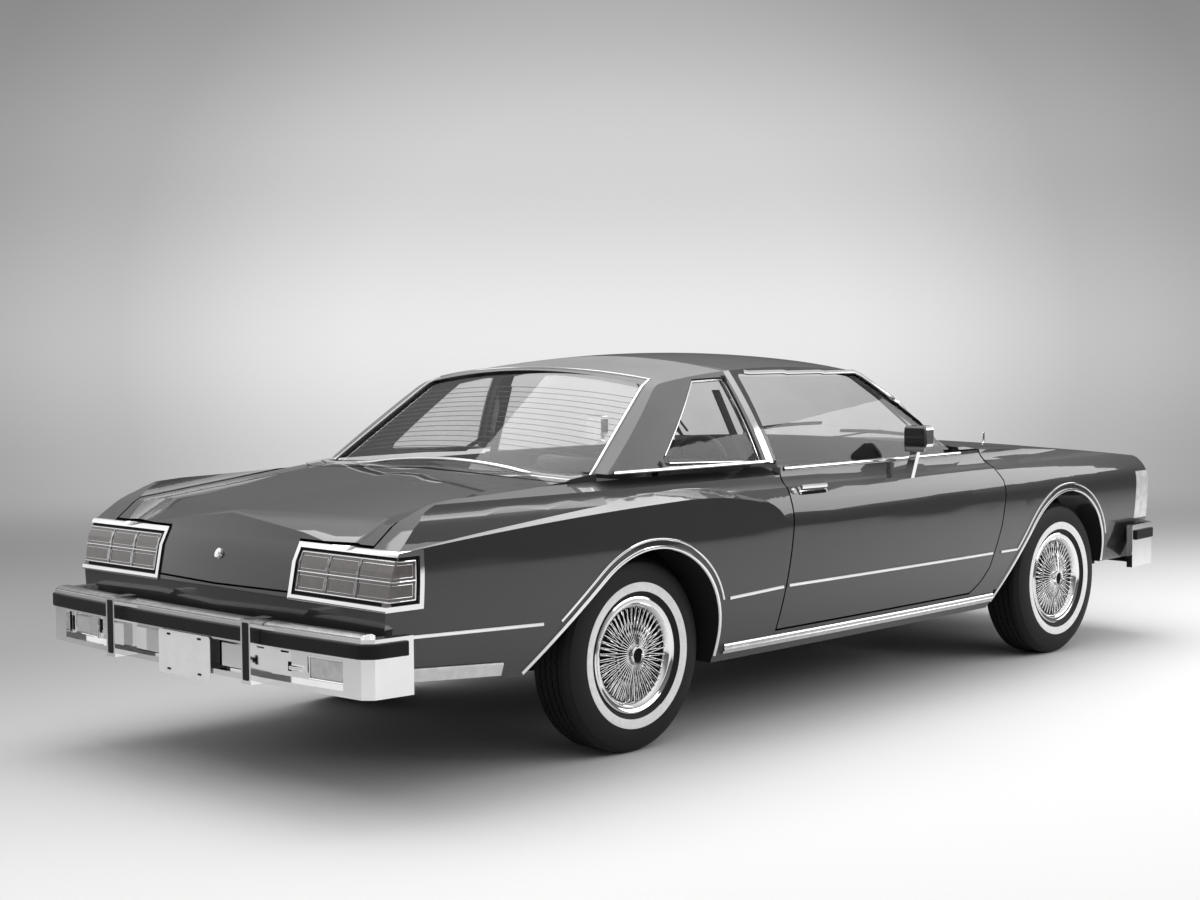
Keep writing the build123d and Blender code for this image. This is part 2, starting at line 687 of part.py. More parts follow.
# ---------------------------------------------------------------- floor and structure
with BuildPart() as floor_pan:
    with BuildSketch(Plane.XZ):
        with BuildLine():
            Polyline(*points([(1137, 272), (-480, 272), (-720, 540), (-1640, 540), (-1700, 452),
                              (-2237, 452), (-2237, 427), (-1690, 427), (-1625, 515), (-735, 515),
                              (-500, 247), (1137, 247)]), close=True)
        make_face()
    extrude(amount=sy(740), both=True)
    add(block(sx(-560), cabin_front_x, -sy(165), sy(165), sz(247), sz(450)))
    add(block(sx(-800), sx(1138), -sy(140), sy(140), sz(200), sz(425)), mode=Mode.SUBTRACT)
    for side in (-1, 1):
        low, high = sorted((side * rear_house_inner_y, side * sy(900)))
        add(barrel(rear_axle_x, wheel_z, rear_house_radius + 20, low, high), mode=Mode.SUBTRACT)

with BuildPart() as rear_wheelhouse_left:
    add(barrel(rear_axle_x, wheel_z, rear_house_radius + 20, rear_house_inner_y, quarter_inner_y))
    add(barrel(rear_axle_x, wheel_z, rear_house_radius, rear_house_inner_y + 15, quarter_inner_y),
        mode=Mode.SUBTRACT)
    add(block(sx(-2000), sx(0), 0, sy(900), -sz(300), sz(427)), mode=Mode.SUBTRACT)

with BuildPart() as front_wheelhouse_left:
    add(block(firewall_front_x, sx(2200), sy(445), fender_inner_y, sz(420), sz(850)))
    add(barrel(front_axle_x, wheel_z, wheel_house_radius, house_inner_y, fender_inner_y + 1),
        mode=Mode.SUBTRACT)

with BuildPart() as frame_rail_left:
    with BuildSketch(Plane.XZ.offset(-sy(400))):
        with BuildLine():
            Polyline(*points([(2330, 430), (2330, 350), (1320, 350), (1137, 250), (1137, 420),
                              (1200, 430)]), close=True)
        make_face()
    extrude(amount=-sy(45))
    with BuildSketch(Plane.XZ.offset(-sy(500))):
        with BuildLine():
            Polyline(*points([(-560, 314), (-735, 515), (-1625, 515), (-1690, 427), (-2290, 427),
                              (-2290, 370), (-1740, 370), (-1560, 455), (-860, 455), (-690, 290),
                              (-560, 290)]), close=True)
        make_face()
    extrude(amount=-sy(60))

with BuildPart() as radiator_support:
    add(block(sx(2200), sx(2240), -fender_inner_y, fender_inner_y, sz(350), sz(850)))
    add(block(sx(2150), sx(2200), -sy(340), sy(340), sz(400), sz(840)))
    add(frame_rail_left.part, mode=Mode.SUBTRACT)
    add(twin(frame_rail_left.part), mode=Mode.SUBTRACT)

# ---------------------------------------------------------------- nose
with BuildPart() as front_header:
    add(lower)
    add(block(nose_x, sx(2500), -side_far, side_far, sz(560), HEIGHT), mode=Mode.INTERSECT)
    add(block(sx(2240), nose_x, -fender_inner_y + 1, fender_inner_y - 1, sz(600), sz(840)))
    add(block(sx(2200), sx(2600), -sy(210), sy(210), sz(600), sz(850)), mode=Mode.SUBTRACT)
    add(both_sides(turn_lamp), mode=Mode.SUBTRACT)
    for side in (-1, 1):
        low, high = sorted((side * sy(228), side * sy(690)))
        add(block(sx(2440), sx(2600), low, high, sz(640), sz(800)), mode=Mode.SUBTRACT)

with BuildPart() as turn_lamp_left:
    add(lower)
    add(turn_lamp, mode=Mode.INTERSECT)

with BuildPart() as front_lamps:
    for centre in (-578, -342, 342, 578):
        add(block(sx(2440), sx(2464), sy(centre) - 100, sy(centre) + 100, sz(720) - 65, sz(720) + 65))
    fillet(front_lamps.edges().filter_by(Axis.X), 18)
    add(both_sides(turn_lamp_left.part))

with BuildPart() as grille:
    add(block(sx(2410), sx(2440), -sy(210), sy(210), sz(600), sz(850)))
    for index in range(21):
        bar = (index - 10) * sy(19.5)
        add(block(sx(2440), sx(2465), bar - 3, bar + 3, sz(604), sz(846)))

# ---------------------------------------------------------------- bumpers
RECESS = 34.0
bumper_bottom_z = sz(380)
bumper_top_z = sz(565)
strip_bottom_z = sz(503)
rear_face_x = sx(-2552)
guard_face_x = sx(-2592)


def rear_bumper_face(shift, reach):
    """Plan view of what lies behind the curved rear face of the bumper."""
    with BuildSketch() as outline:
        with BuildLine():
            ThreePointArc((sx(-2519) + shift, reach), (rear_face_x + shift, 0), (sx(-2519) + shift, -reach))
            Polyline((sx(-2519) + shift, -reach), (2 * rear_face_x, -reach), (2 * rear_face_x, reach),
                     (sx(-2519) + shift, reach))
        make_face()
    return outline.sketch


with BuildPart() as rear_bumper:
    with BuildSketch(Plane.XY.offset(bumper_bottom_z)):
        with BuildLine():
            ThreePointArc((sx(-2519), sy(887)), (rear_face_x, 0), (sx(-2519), -sy(887)))
            Polyline((sx(-2519), -sy(887)), (sx(-2490), -sy(918)), (sx(-2347), -sy(931)),
                     (sx(-2347), -sy(900)), (sx(-2460), -sy(870)), (sx(-2480), 0))
            Polyline((sx(-2480), 0), (sx(-2460), sy(870)), (sx(-2347), sy(900)), (sx(-2347), sy(931)),
                     (sx(-2490), sy(918)), (sx(-2519), sy(887)))
        make_face()
    extrude(amount=bumper_top_z - bumper_bottom_z)
    # the lower face is set back between the two end caps
    with BuildSketch(Plane.XY.offset(bumper_bottom_z + 18)):
        add(rear_bumper_face(RECESS, sy(806)))
    extrude(amount=strip_bottom_z - bumper_bottom_z - 24, mode=Mode.SUBTRACT)
    for side in (-1, 1):
        guard = side * sy(397)
        add(block(guard_face_x, sx(-2500), guard - 26, guard + 26, bumper_bottom_z, sz(588)))
        add(block(sx(-2500), lamp_front_x, side * sy(530) - 30, side * sy(530) + 30, sz(440), sz(500)))
    for neighbour in (rear_panel.part, quarter_left.part, twin(quarter_left.part)):
        add(neighbour, mode=Mode.SUBTRACT)

front_face_x = sx(2560)
with BuildPart() as front_bumper:
    with BuildSketch(Plane.XY.offset(sz(350))):
        with BuildLine():
            ThreePointArc((sx(2500), sy(830)), (front_face_x, 0), (sx(2500), -sy(830)))
            Polyline((sx(2500), -sy(830)), (sx(2440), -sy(905)), (sx(2210), -sy(925)), (sx(2210), -sy(895)),
                     (sx(2400), -sy(870)), (sx(2485), 0))
            Polyline((sx(2485), 0), (sx(2400), sy(870)), (sx(2210), sy(895)), (sx(2210), sy(925)),
                     (sx(2440), sy(905)), (sx(2500), sy(830)))
        make_face()
    extrude(amount=sz(205))
    for side in (-1, 1):
        guard = side * sy(380)
        add(block(sx(2500), sx(2592), guard - 26, guard + 26, sz(380), sz(580)))
        add(block(sx(2330), sx(2500), side * sy(422) - 22, side * sy(422) + 22, sz(360), sz(420)))

# ---------------------------------------------------------------- cabin furniture
with BuildPart() as dashboard:
    with BuildSketch(Plane.XZ):
        with BuildLine():
            Polyline(*points([(1115, 889), (700, 889), (665, 860), (690, 740), (760, 640), (1115, 640)]),
                     close=True)
        make_face()
    extrude(amount=sy(745), both=True)

COLUMN_TILT = 25.0
wheel_centre = (sx(455), sy(370), sz(840))
column_axis = (cos(radians(COLUMN_TILT)), 0, -sin(radians(COLUMN_TILT)))
column_plane = Plane(origin=wheel_centre, x_dir=(0, 1, 0), z_dir=column_axis)
SPINDLE_RADIUS = 9.0

with BuildPart() as steering_column:
    with BuildSketch(column_plane.offset(46)):
        Circle(32)
    extrude(amount=sx(330))
    with BuildSketch(column_plane.offset(5)):
        Circle(SPINDLE_RADIUS)
    extrude(amount=45)
    add(dashboard.part, mode=Mode.SUBTRACT)

with BuildPart() as steering_wheel:
    with BuildSketch(Plane(origin=wheel_centre, x_dir=column_plane.z_dir, z_dir=(0, -1, 0))):
        with Locations((0, 190)):
            RegularPolygon(12, 8)
    revolve(axis=Axis(wheel_centre, column_plane.z_dir))
    with BuildSketch(column_plane.offset(-10)):
        Circle(48)
    extrude(amount=50)
    with BuildSketch(column_plane.offset(10)):
        Rectangle(372, 34)
    extrude(amount=10)
    with BuildSketch(column_plane.offset(4)):
        Circle(SPINDLE_RADIUS + PIN_CLEARANCE)
    extrude(amount=60, mode=Mode.SUBTRACT)


def seat(x_front, x_back, back_top_z, y0, y1, cushion_z, floor_z, lean):
    """A cushion with a leaning back, as one soft solid."""
    with BuildPart() as form:
        with BuildSketch(Plane.XZ.offset(-y0)) as outline:
            with BuildLine():
                Polyline((x_front, floor_z), (x_back, floor_z), (x_back - lean, back_top_z),
                         (x_back - lean + sx(150), back_top_z), (x_back + sx(170), cushion_z),
                         (x_front, cushion_z), close=True)
            make_face()
            fillet(outline.vertices(), 30)
        extrude(amount=-(y1 - y0))
    return form.part


with BuildPart() as front_seat_left:
    add(seat(sx(330), sx(-190), sz(985), sy(40), sy(690), sz(530), sz(272), sx(130)))
    add(block(sx(-400), sx(400), sy(0), sy(170), sz(200), sz(455)), mode=Mode.SUBTRACT)

with BuildPart() as rear_seat:
    with BuildSketch(Plane.XZ):
        with BuildLine():
            Polyline(*points([(-500, 300), (-505, 545), (-930, 555), (-1060, 950), (-1119, 950), (-1119, 541),
                              (-721, 541), (-500, 294)]), close=True)
        make_face()
    extrude(amount=sy(585), both=True)
    add(block(sx(-800), sx(-490), -sy(170), sy(170), 0, sz(455)), mode=Mode.SUBTRACT)
    add(floor_pan.part, mode=Mode.SUBTRACT)

# ---------------------------------------------------------------- running gear
AXLE_RADIUS = 30.0
wheel_front_y = front_track / 2
wheel_rear_y = rear_track / 2
kingpin_y = wheel_front_y - 62
RIM_RADIUS = 190.0


def tyre_at(x, y):
    """A tyre with leaning bead, full sidewall and rounded shoulders."""
    half = TYRE_WIDTH / 2
    depth = TYRE_RADIUS - RIM_RADIUS
    inner = [(half - 28, 0), (half - 2, 0.24 * depth), (half, 0.48 * depth), (half - 14, 0.86 * depth),
             (half - 38, depth)]
    with BuildPart() as form:
        with BuildSketch(Plane.YZ.offset(x)):
            with BuildLine():
                right = [(y + w, wheel_z + RIM_RADIUS + h) for w, h in inner]
                left = [(y - w, wheel_z + RIM_RADIUS + h) for w, h in reversed(inner)]
                Polyline(*right, *left, close=True)
            make_face()
        revolve(axis=Axis((x, 0, wheel_z), (0, 1, 0)))
    return form.part


def wheel_at(x, y, side):
    """A pressed wheel: rim barrel, disc and the dished cover outside it."""
    with BuildPart() as form:
        with BuildSketch(Plane.YZ.offset(x)):
            with BuildLine():
                bore = AXLE_RADIUS + PIN_CLEARANCE
                section = [(-75, RIM_RADIUS), (75, RIM_RADIUS), (75, RIM_RADIUS - 10), (30, 170), (75, 60),
                           (75, 0), (50, 0), (50, bore), (15, bore), (15, 168), (-75, RIM_RADIUS - 10)]
                Polyline(*[(y + side * across, wheel_z + height) for across, height in section], close=True)
            make_face()
        revolve(axis=Axis((x, 0, wheel_z), (0, 1, 0)))
    return form.part


KINGPIN_HALF = 115.0
with BuildPart() as knuckle_left:
    with BuildSketch(Plane.XY.offset(wheel_z - KINGPIN_HALF)):
        with Locations((front_axle_x, kingpin_y)):
            Circle(26)
    extrude(amount=2 * KINGPIN_HALF)
    add(barrel(front_axle_x, wheel_z, AXLE_RADIUS, kingpin_y, wheel_front_y + 49))
    add(barrel(front_axle_x, wheel_z, 60, kingpin_y + 20, kingpin_y + 55))

with BuildPart() as front_suspension:
    add(block(front_axle_x - 60, front_axle_x + 60, -sy(445), sy(445), wheel_z - 140, wheel_z + 3))
    for side in (-1, 1):
        reach = KINGPIN_HALF + PIN_CLEARANCE
        for z0, z1 in ((wheel_z - 140, wheel_z - reach), (wheel_z + reach, wheel_z + 135)):
            with BuildSketch(Plane.XY.offset(z0)):
                with BuildLine():
                    Polyline((front_axle_x - 110, side * sy(446)), (front_axle_x - 22, side * kingpin_y),
                             (front_axle_x + 22, side * kingpin_y), (front_axle_x + 110, side * sy(446)),
                             close=True)
                make_face()
                with Locations((front_axle_x, side * kingpin_y)):
                    Circle(24)
            extrude(amount=z1 - z0)
        low, high = sorted((side * sy(430), side * sy(465)))
        add(block(front_axle_x - 110, front_axle_x + 110, low, high, wheel_z - 140, wheel_z + 135))
    add(frame_rail_left.part, mode=Mode.SUBTRACT)
    add(twin(frame_rail_left.part), mode=Mode.SUBTRACT)
    add(front_wheelhouse_left.part, mode=Mode.SUBTRACT)
    add(twin(front_wheelhouse_left.part), mode=Mode.SUBTRACT)

with BuildPart() as rear_axle:
    add(barrel(rear_axle_x, wheel_z, 38, -wheel_rear_y + 10, wheel_rear_y - 10))
    add(barrel(rear_axle_x, wheel_z, AXLE_RADIUS, -wheel_rear_y - 49, wheel_rear_y + 49))
    # the gear housing bulges round the middle and narrows forward to the pinion
    with BuildSketch(Plane.XZ):
        with BuildLine():
            Polyline(*[(rear_axle_x + x, wheel_z + r) for x, r in
                       [(-75, 0), (-75, 70), (-45, 115), (45, 115), (80, 62), (170, 46), (170, 0)]],
                     close=True)
        make_face()
    revolve(axis=Axis((rear_axle_x, 0, wheel_z), (1, 0, 0)))

with BuildPart() as leaf_spring_left:
    with BuildSketch(Plane.XZ.offset(-sy(500))):
        with BuildLine():
            eye_front_x, eye_rear_x = rear_axle_x + 610, rear_axle_x - 620
            ThreePointArc((eye_front_x, wheel_z + 15), (rear_axle_x, wheel_z - 38), (eye_rear_x, wheel_z + 35))
            Line((eye_rear_x, wheel_z + 35), (eye_rear_x, wheel_z - 10))
            ThreePointArc((eye_rear_x, wheel_z - 10), (rear_axle_x, wheel_z - 63), (eye_front_x, wheel_z - 10))
            Line((eye_front_x, wheel_z - 10), (eye_front_x, wheel_z + 15))
        make_face()
    extrude(amount=-sy(60))
    add(frame_rail_left.part, mode=Mode.SUBTRACT)

with BuildPart() as driveshaft:
    with BuildSketch(Plane.YZ.offset(rear_axle_x)):
        with Locations((0, wheel_z)):
            Circle(35)
    extrude(amount=sx(330) - rear_axle_x)
    add(rear_axle.part, mode=Mode.SUBTRACT)

with BuildPart() as engine:
    add(block(sx(1190), sx(1900), -sy(270), sy(270), sz(352), sz(850)))
    add(block(sx(330), sx(1190), -sy(110), sy(110), sz(270), sz(415)))
    add(front_suspension.part, mode=Mode.SUBTRACT)

with BuildPart() as fuel_tank:
    add(block(sx(-2250), sx(-1760), -sy(380), sy(380), sz(240), sz(427)))

# ---------------------------------------------------------------- door mirrors
MIRROR_ROUND = 20.0
with BuildPart() as mirror_left:
    with BuildSketch(Plane.YZ.offset(sx(372))):
        with Locations((sy(922), sz(1060))):
            RectangleRounded(sy(112), sz(93), MIRROR_ROUND)
    extrude(amount=sx(60))
    chamfer(mirror_left.faces().sort_by(Axis.X)[-1].edges(), 12)
    with BuildSketch(Plane.YZ.offset(sx(390))):
        with BuildLine():
            Polyline((sy(846), sz(880)), (sy(886), sz(880)), (sy(930), sz(1040)), (sy(898), sz(1040)),
                     close=True)
        make_face()
    extrude(amount=sx(24))
    add(door_left.part, mode=Mode.SUBTRACT)

# ---------------------------------------------------------------- write the files
pieces = {
    "door_left": door_left.part,
    "door_right": door_right_shape,
    "door_hinges": both_sides(door_hinge_left.part),
    "door_glass_left": door_glass_left.part,
    "door_glass_right": twin(door_glass_left.part),
    "front_fender_left": fender_left.part,
    "front_fender_right": twin(fender_left.part),
    "quarter_panel_left": quarter_left.part,
    "quarter_panel_right": twin(quarter_left.part),
    "sills": both_sides(sill_left.part),
    "hood": hood.part,
    "hood_hinges": hood_hinges.part,
    "cowl": cowl.part,
    "trunk_lid": trunk_lid.part,
    "lid_hinges": lid_hinges.part,
    "deck_panel": deck_panel.part,
    "parcel_shelf": parcel_shelf.part,
    "rear_panel": rear_panel.part,
    "roof_band": both_sides(half_band.part),
    "roof_front": both_sides(half_roof_front.part),
    "roof_rear": both_sides(half_roof_rear.part),
    "windshield": windshield.part,
    "rear_window": rear_window.part,
    "floor_pan": floor_pan.part,
    "radiator_support": radiator_support.part,
    "front_header": front_header.part,
    "grille": grille.part,
    "rear_bumper": rear_bumper.part,
    "front_bumper": front_bumper.part,
    "dashboard": dashboard.part,
    "steering_column": steering_column.part,
    "steering_wheel": steering_wheel.part,
    "front_seat_left": front_seat_left.part,
    "front_seat_right": twin(front_seat_left.part),
    "rear_seat": rear_seat.part,
    "front_suspension": front_suspension.part,
    "rear_axle": rear_axle.part,
    "driveshaft": driveshaft.part,
    "engine": engine.part,
    "fuel_tank": fuel_tank.part,
    "knuckle_left": knuckle_left.part,
    "knuckle_right": twin(knuckle_left.part),
    "front_lamps": front_lamps.part,
    "mirror_left": mirror_left.part,
    "mirror_right": twin(mirror_left.part),
}
for name, shape in {
    "tail_lamps": tail_lamp_left.part, "opera_windows": opera_left.part, "frame_rails": frame_rail_left.part,
    "rear_wheelhouses": rear_wheelhouse_left.part, "front_wheelhouses": front_wheelhouse_left.part,
    "leaf_springs": leaf_spring_left.part,
    "tail_lamp_bezels": lamp_bezel_left.part,
}.items():
    pieces[name] = both_sides(shape)
for name, x, y in (("front", front_axle_x, wheel_front_y), ("rear", rear_axle_x, wheel_rear_y)):
    for side, word in ((1, "left"), (-1, "right")):
        pieces["tyre_" + name + "_" + word] = tyre_at(x, side * y)
        pieces["wheel_" + name + "_" + word] = wheel_at(x, side * y, side)
for name, shape in pieces.items():
    shape.label = name
    solids = shape.solids()
    print(name, len(solids), round(sum(s.volume for s in solids) / 1e6, 1), shape.bounding_box())
    export_step(shape, "parts/" + name + ".step")
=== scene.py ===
# %% [markdown]
# # A landau coupe in a studio
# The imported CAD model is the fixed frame: panels, glass, bumpers, seats and running gear are already in
# their places. This lesson adds what makes it look real, one piece at a time. Lengths are in metres in the
# car's own frame: x runs forward, y to the car's left and z up. Most trims are given as a line seen from the
# side or the end, and a ray that touches the panel finds how far out they sit.

# %% Load the frame
import json
import math

import bmesh
import bpy
from mathutils import Matrix, Vector


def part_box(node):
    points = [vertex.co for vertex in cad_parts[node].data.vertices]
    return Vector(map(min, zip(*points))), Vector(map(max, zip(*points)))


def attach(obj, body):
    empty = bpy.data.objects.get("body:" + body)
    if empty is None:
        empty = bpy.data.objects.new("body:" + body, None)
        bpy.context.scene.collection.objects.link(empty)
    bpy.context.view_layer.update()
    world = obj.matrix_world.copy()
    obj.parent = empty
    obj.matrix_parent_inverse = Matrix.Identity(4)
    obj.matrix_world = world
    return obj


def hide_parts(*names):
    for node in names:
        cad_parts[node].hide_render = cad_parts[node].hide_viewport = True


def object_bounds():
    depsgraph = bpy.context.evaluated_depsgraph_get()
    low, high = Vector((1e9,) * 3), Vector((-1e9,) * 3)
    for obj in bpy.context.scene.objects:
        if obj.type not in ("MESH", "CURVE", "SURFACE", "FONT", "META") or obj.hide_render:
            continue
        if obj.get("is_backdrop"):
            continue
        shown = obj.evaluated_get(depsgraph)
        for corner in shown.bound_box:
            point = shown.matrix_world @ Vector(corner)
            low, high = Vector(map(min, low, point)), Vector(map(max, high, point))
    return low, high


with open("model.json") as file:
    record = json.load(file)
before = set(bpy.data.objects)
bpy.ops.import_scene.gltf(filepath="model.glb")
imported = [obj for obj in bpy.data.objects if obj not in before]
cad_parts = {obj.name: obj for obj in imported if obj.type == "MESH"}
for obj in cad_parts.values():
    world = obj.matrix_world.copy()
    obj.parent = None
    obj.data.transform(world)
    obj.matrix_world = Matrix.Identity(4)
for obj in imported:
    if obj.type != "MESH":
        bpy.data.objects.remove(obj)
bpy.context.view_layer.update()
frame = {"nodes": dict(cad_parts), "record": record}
nodes = frame["nodes"]
scene = bpy.context.scene

# %% [markdown]
# ## Materials
# A real finish is never one flat value. Paint has a faint flake and a clear coat over it, chrome has a slight
# unevenness, vinyl and rubber have grain. An image could carry that, but it would have to be unwrapped on
# every part. So each finish here is a small node tree: noise in object coordinates moves the colour and the
# roughness a little, and the same noise can drive a bump for the grain.

# %% Material helpers
ROUGHNESS_SPREAD = 0.15
COAT_ROUGHNESS = 0.03
GRAIN_STRENGTH = 0.4


def new_material(name):
    material = bpy.data.materials.new(name)
    material.use_nodes = True
    shader = material.node_tree.nodes["Principled BSDF"]
    return material, material.node_tree, shader


def add_noise(tree, scale, detail=4.0):
    place = tree.nodes.new("ShaderNodeTexCoord")
    noise = tree.nodes.new("ShaderNodeTexNoise")
    noise.inputs["Scale"].default_value = scale
    noise.inputs["Detail"].default_value = detail
    tree.links.new(place.outputs["Object"], noise.inputs["Vector"])
    return noise


def add_ramp(tree, source, dark, light, low=0.35, high=0.65):
    ramp = tree.nodes.new("ShaderNodeValToRGB")
    ramp.color_ramp.elements[0].position = low
    ramp.color_ramp.elements[1].position = high
    ramp.color_ramp.elements[0].color = (*dark, 1)
    ramp.color_ramp.elements[1].color = (*light, 1)
    tree.links.new(source, ramp.inputs["Fac"])
    return ramp


def add_bump(tree, shader, source, strength, distance):
    bump = tree.nodes.new("ShaderNodeBump")
    bump.inputs["Strength"].default_value = strength
    bump.inputs["Distance"].default_value = distance
    tree.links.new(source, bump.inputs["Height"])
    tree.links.new(bump.outputs["Normal"], shader.inputs["Normal"])


def finish_material(name, dark, light, rough, metal=0.0, scale=40.0, bump=0.0, coat=0.0, shine=0.5):
    """A finish between two tones; scale is the noise's, and bump is the depth of its grain in metres."""
    material, tree, shader = new_material(name)
    shader.inputs["Specular IOR Level"].default_value = shine
    noise = add_noise(tree, scale)
    ramp = add_ramp(tree, noise.outputs["Fac"], dark, light)
    tree.links.new(ramp.outputs["Color"], shader.inputs["Base Color"])
    spread = tree.nodes.new("ShaderNodeMapRange")
    spread.inputs["To Min"].default_value = rough * (1 - ROUGHNESS_SPREAD)
    spread.inputs["To Max"].default_value = rough * (1 + ROUGHNESS_SPREAD)
    tree.links.new(noise.outputs["Fac"], spread.inputs["Value"])
    tree.links.new(spread.outputs["Result"], shader.inputs["Roughness"])
    shader.inputs["Metallic"].default_value = metal
    shader.inputs["Coat Weight"].default_value = coat
    shader.inputs["Coat Roughness"].default_value = COAT_ROUGHNESS
    if bump:
        add_bump(tree, shader, noise.outputs["Fac"], GRAIN_STRENGTH, bump)
    return material


def grey(value):
    return (value, value, value)


print("grain is a bump of strength", GRAIN_STRENGTH)

# %% [markdown]
# ## Paint, metals, rubber and plastic
# The body paint is a dark metallic grey under a clear coat. Tyres, pads and strips are rubber, and chassis
# and engine parts are undercoated or cast. These finishes differ only in tone, gloss and grain size, so one
# helper makes them all, and chrome needs little more than its low roughness.

# %% Plain finishes
paint = finish_material("paint", grey(0.020), grey(0.026), 0.34, metal=0.1, scale=900, coat=1.0, shine=0.15)
chrome = finish_material("chrome", grey(0.76), grey(0.84), 0.08, metal=1.0, scale=5)
satin_chrome = finish_material("satin_chrome", grey(0.55), grey(0.64), 0.22, metal=1.0, scale=30)
rubber = finish_material("rubber", grey(0.005), grey(0.009), 0.50, scale=300, bump=0.0003, shine=0.2)
tyre_rubber = finish_material("tyre_rubber", grey(0.007), grey(0.012), 0.60, scale=260, bump=0.0004,
                              shine=0.25)
white_wall = finish_material("white_wall", grey(0.78), grey(0.86), 0.50, scale=60, bump=0.0002)
undercoat = finish_material("undercoat", grey(0.010), grey(0.016), 0.70, scale=60, bump=0.0002, shine=0.2)
casting = finish_material("casting", grey(0.05), grey(0.08), 0.60, scale=80, bump=0.0003)
dark_plastic = finish_material("dark_plastic", grey(0.009), grey(0.014), 0.45, scale=160, bump=0.00006,
                               shine=0.2)
matte_black = finish_material("matte_black", grey(0.003), grey(0.006), 0.70, scale=200, shine=0.1)
plate_white = finish_material("plate_white", grey(0.86), grey(0.90), 0.35, scale=20, bump=0.0002)
mirror_face = finish_material("mirror_face", grey(0.80), grey(0.84), 0.03, metal=1.0, scale=3)
print("plain finishes:", len(bpy.data.materials))

# %% [markdown]
# ## Vinyl
# The landau roof and the seats are vinyl, a coated cloth with a pebbled grain. A noise bump would look like
# orange peel. A Voronoi pattern gives separate little cells, as the embossing roller does, and a broad faint
# change of tone keeps a large area from looking flat.

# %% Roof and seat vinyl


def vinyl_material(name, dark, light, cell, depth):
    """A pebbled grain: small cells pressed into the cloth, with broad faint shading over them."""
    material, tree, shader = new_material(name)
    broad = add_noise(tree, 3.0)
    ramp = add_ramp(tree, broad.outputs["Fac"], dark, light)
    tree.links.new(ramp.outputs["Color"], shader.inputs["Base Color"])
    place = tree.nodes.new("ShaderNodeTexCoord")
    cells = tree.nodes.new("ShaderNodeTexVoronoi")
    cells.inputs["Scale"].default_value = cell
    tree.links.new(place.outputs["Object"], cells.inputs["Vector"])
    shader.inputs["Roughness"].default_value = 0.55
    add_bump(tree, shader, cells.outputs["Distance"], 0.2, depth)
    return material


vinyl = vinyl_material("vinyl", grey(0.125), grey(0.150), 300.0, 0.0003)
seat_vinyl = vinyl_material("seat_vinyl", grey(0.11), grey(0.14), 260.0, 0.0002)
print("made", vinyl.name, "and", seat_vinyl.name)

# %% [markdown]
# ## Window glass
# A pane has to be seen through and still mirror the studio at a glancing angle. A full glass shader bends the
# view in both faces and is slow. Here a clear shader and a glossy one are mixed by Fresnel, and the inner
# face keeps only a trace of gloss, or the pane would mirror the room twice.

# %% Glass
GLASS_IOR = 1.35
GLASS_ROUGHNESS = 0.02
INNER_FACE_GLOSS = 0.02


def glass_material(name, tint):
    """Clear glass with a gloss that grows as the view slants."""
    material, tree, shader = new_material(name)
    noise = add_noise(tree, 3.0)
    ramp = add_ramp(tree, noise.outputs["Fac"], tint, tuple(min(1, t * 1.03) for t in tint))
    clear = tree.nodes.new("ShaderNodeBsdfTransparent")
    gloss = tree.nodes.new("ShaderNodeBsdfGlossy")
    gloss.inputs["Roughness"].default_value = GLASS_ROUGHNESS
    fresnel = tree.nodes.new("ShaderNodeFresnel")
    fresnel.inputs["IOR"].default_value = GLASS_IOR
    facing = tree.nodes.new("ShaderNodeNewGeometry")
    outer_only = tree.nodes.new("ShaderNodeMix")
    outer_only.inputs["B"].default_value = INNER_FACE_GLOSS
    tree.links.new(facing.outputs["Backfacing"], outer_only.inputs["Factor"])
    tree.links.new(fresnel.outputs["Fac"], outer_only.inputs["A"])
    mix = tree.nodes.new("ShaderNodeMixShader")
    tree.links.new(ramp.outputs["Color"], clear.inputs["Color"])
    tree.links.new(outer_only.outputs["Result"], mix.inputs["Fac"])
    tree.links.new(clear.outputs["BSDF"], mix.inputs[1])
    tree.links.new(gloss.outputs["BSDF"], mix.inputs[2])
    tree.links.new(mix.outputs["Shader"], tree.nodes["Material Output"].inputs["Surface"])
    tree.nodes.remove(shader)
    return material


window_glass = glass_material("window_glass", grey(0.90))
print("made", window_glass.name)

# %% [markdown]
# ## Lamp lenses
# A lens is pressed plastic with fine ribs under a glossy outer face: level ones in the tail lamps, upright
# ones in the clear lamps. Ribs as geometry would be thousands of faces. A wave pattern that drives a bump
# under a clear coat does the same.

# %% Lenses


def lens_material(name, dark, light, across):
    """A pressed plastic lens: fine ribs under a clear gloss, with across as the axis they step along."""
    material, tree, shader = new_material(name)
    noise = add_noise(tree, 25.0)
    ramp = add_ramp(tree, noise.outputs["Fac"], dark, light)
    tree.links.new(ramp.outputs["Color"], shader.inputs["Base Color"])
    place = tree.nodes.new("ShaderNodeTexCoord")
    ribs = tree.nodes.new("ShaderNodeTexWave")
    ribs.bands_direction = across
    ribs.inputs["Scale"].default_value = 60.0
    tree.links.new(place.outputs["Object"], ribs.inputs["Vector"])
    shader.inputs["Roughness"].default_value = 0.15
    shader.inputs["Coat Weight"].default_value = 1.0
    shader.inputs["Coat Roughness"].default_value = 0.02
    add_bump(tree, shader, ribs.outputs["Fac"], 0.3, 0.0010)
    return material


lens_red = lens_material("lens_red", (0.050, 0.036, 0.036), (0.075, 0.056, 0.056), "Z")
lens_clear = lens_material("lens_clear", grey(0.50), grey(0.66), "Y")
print("finishes made:", len(bpy.data.materials))

# %% [markdown]
# ## Finishes on the CAD nodes
# Every CAD node already knows what it is made of, by the material slot in its record. The nodes could be
# dressed one by one. A table from slot to finish dresses them all, and no node can be forgotten, because a
# slot that isn't in the table stops the script.

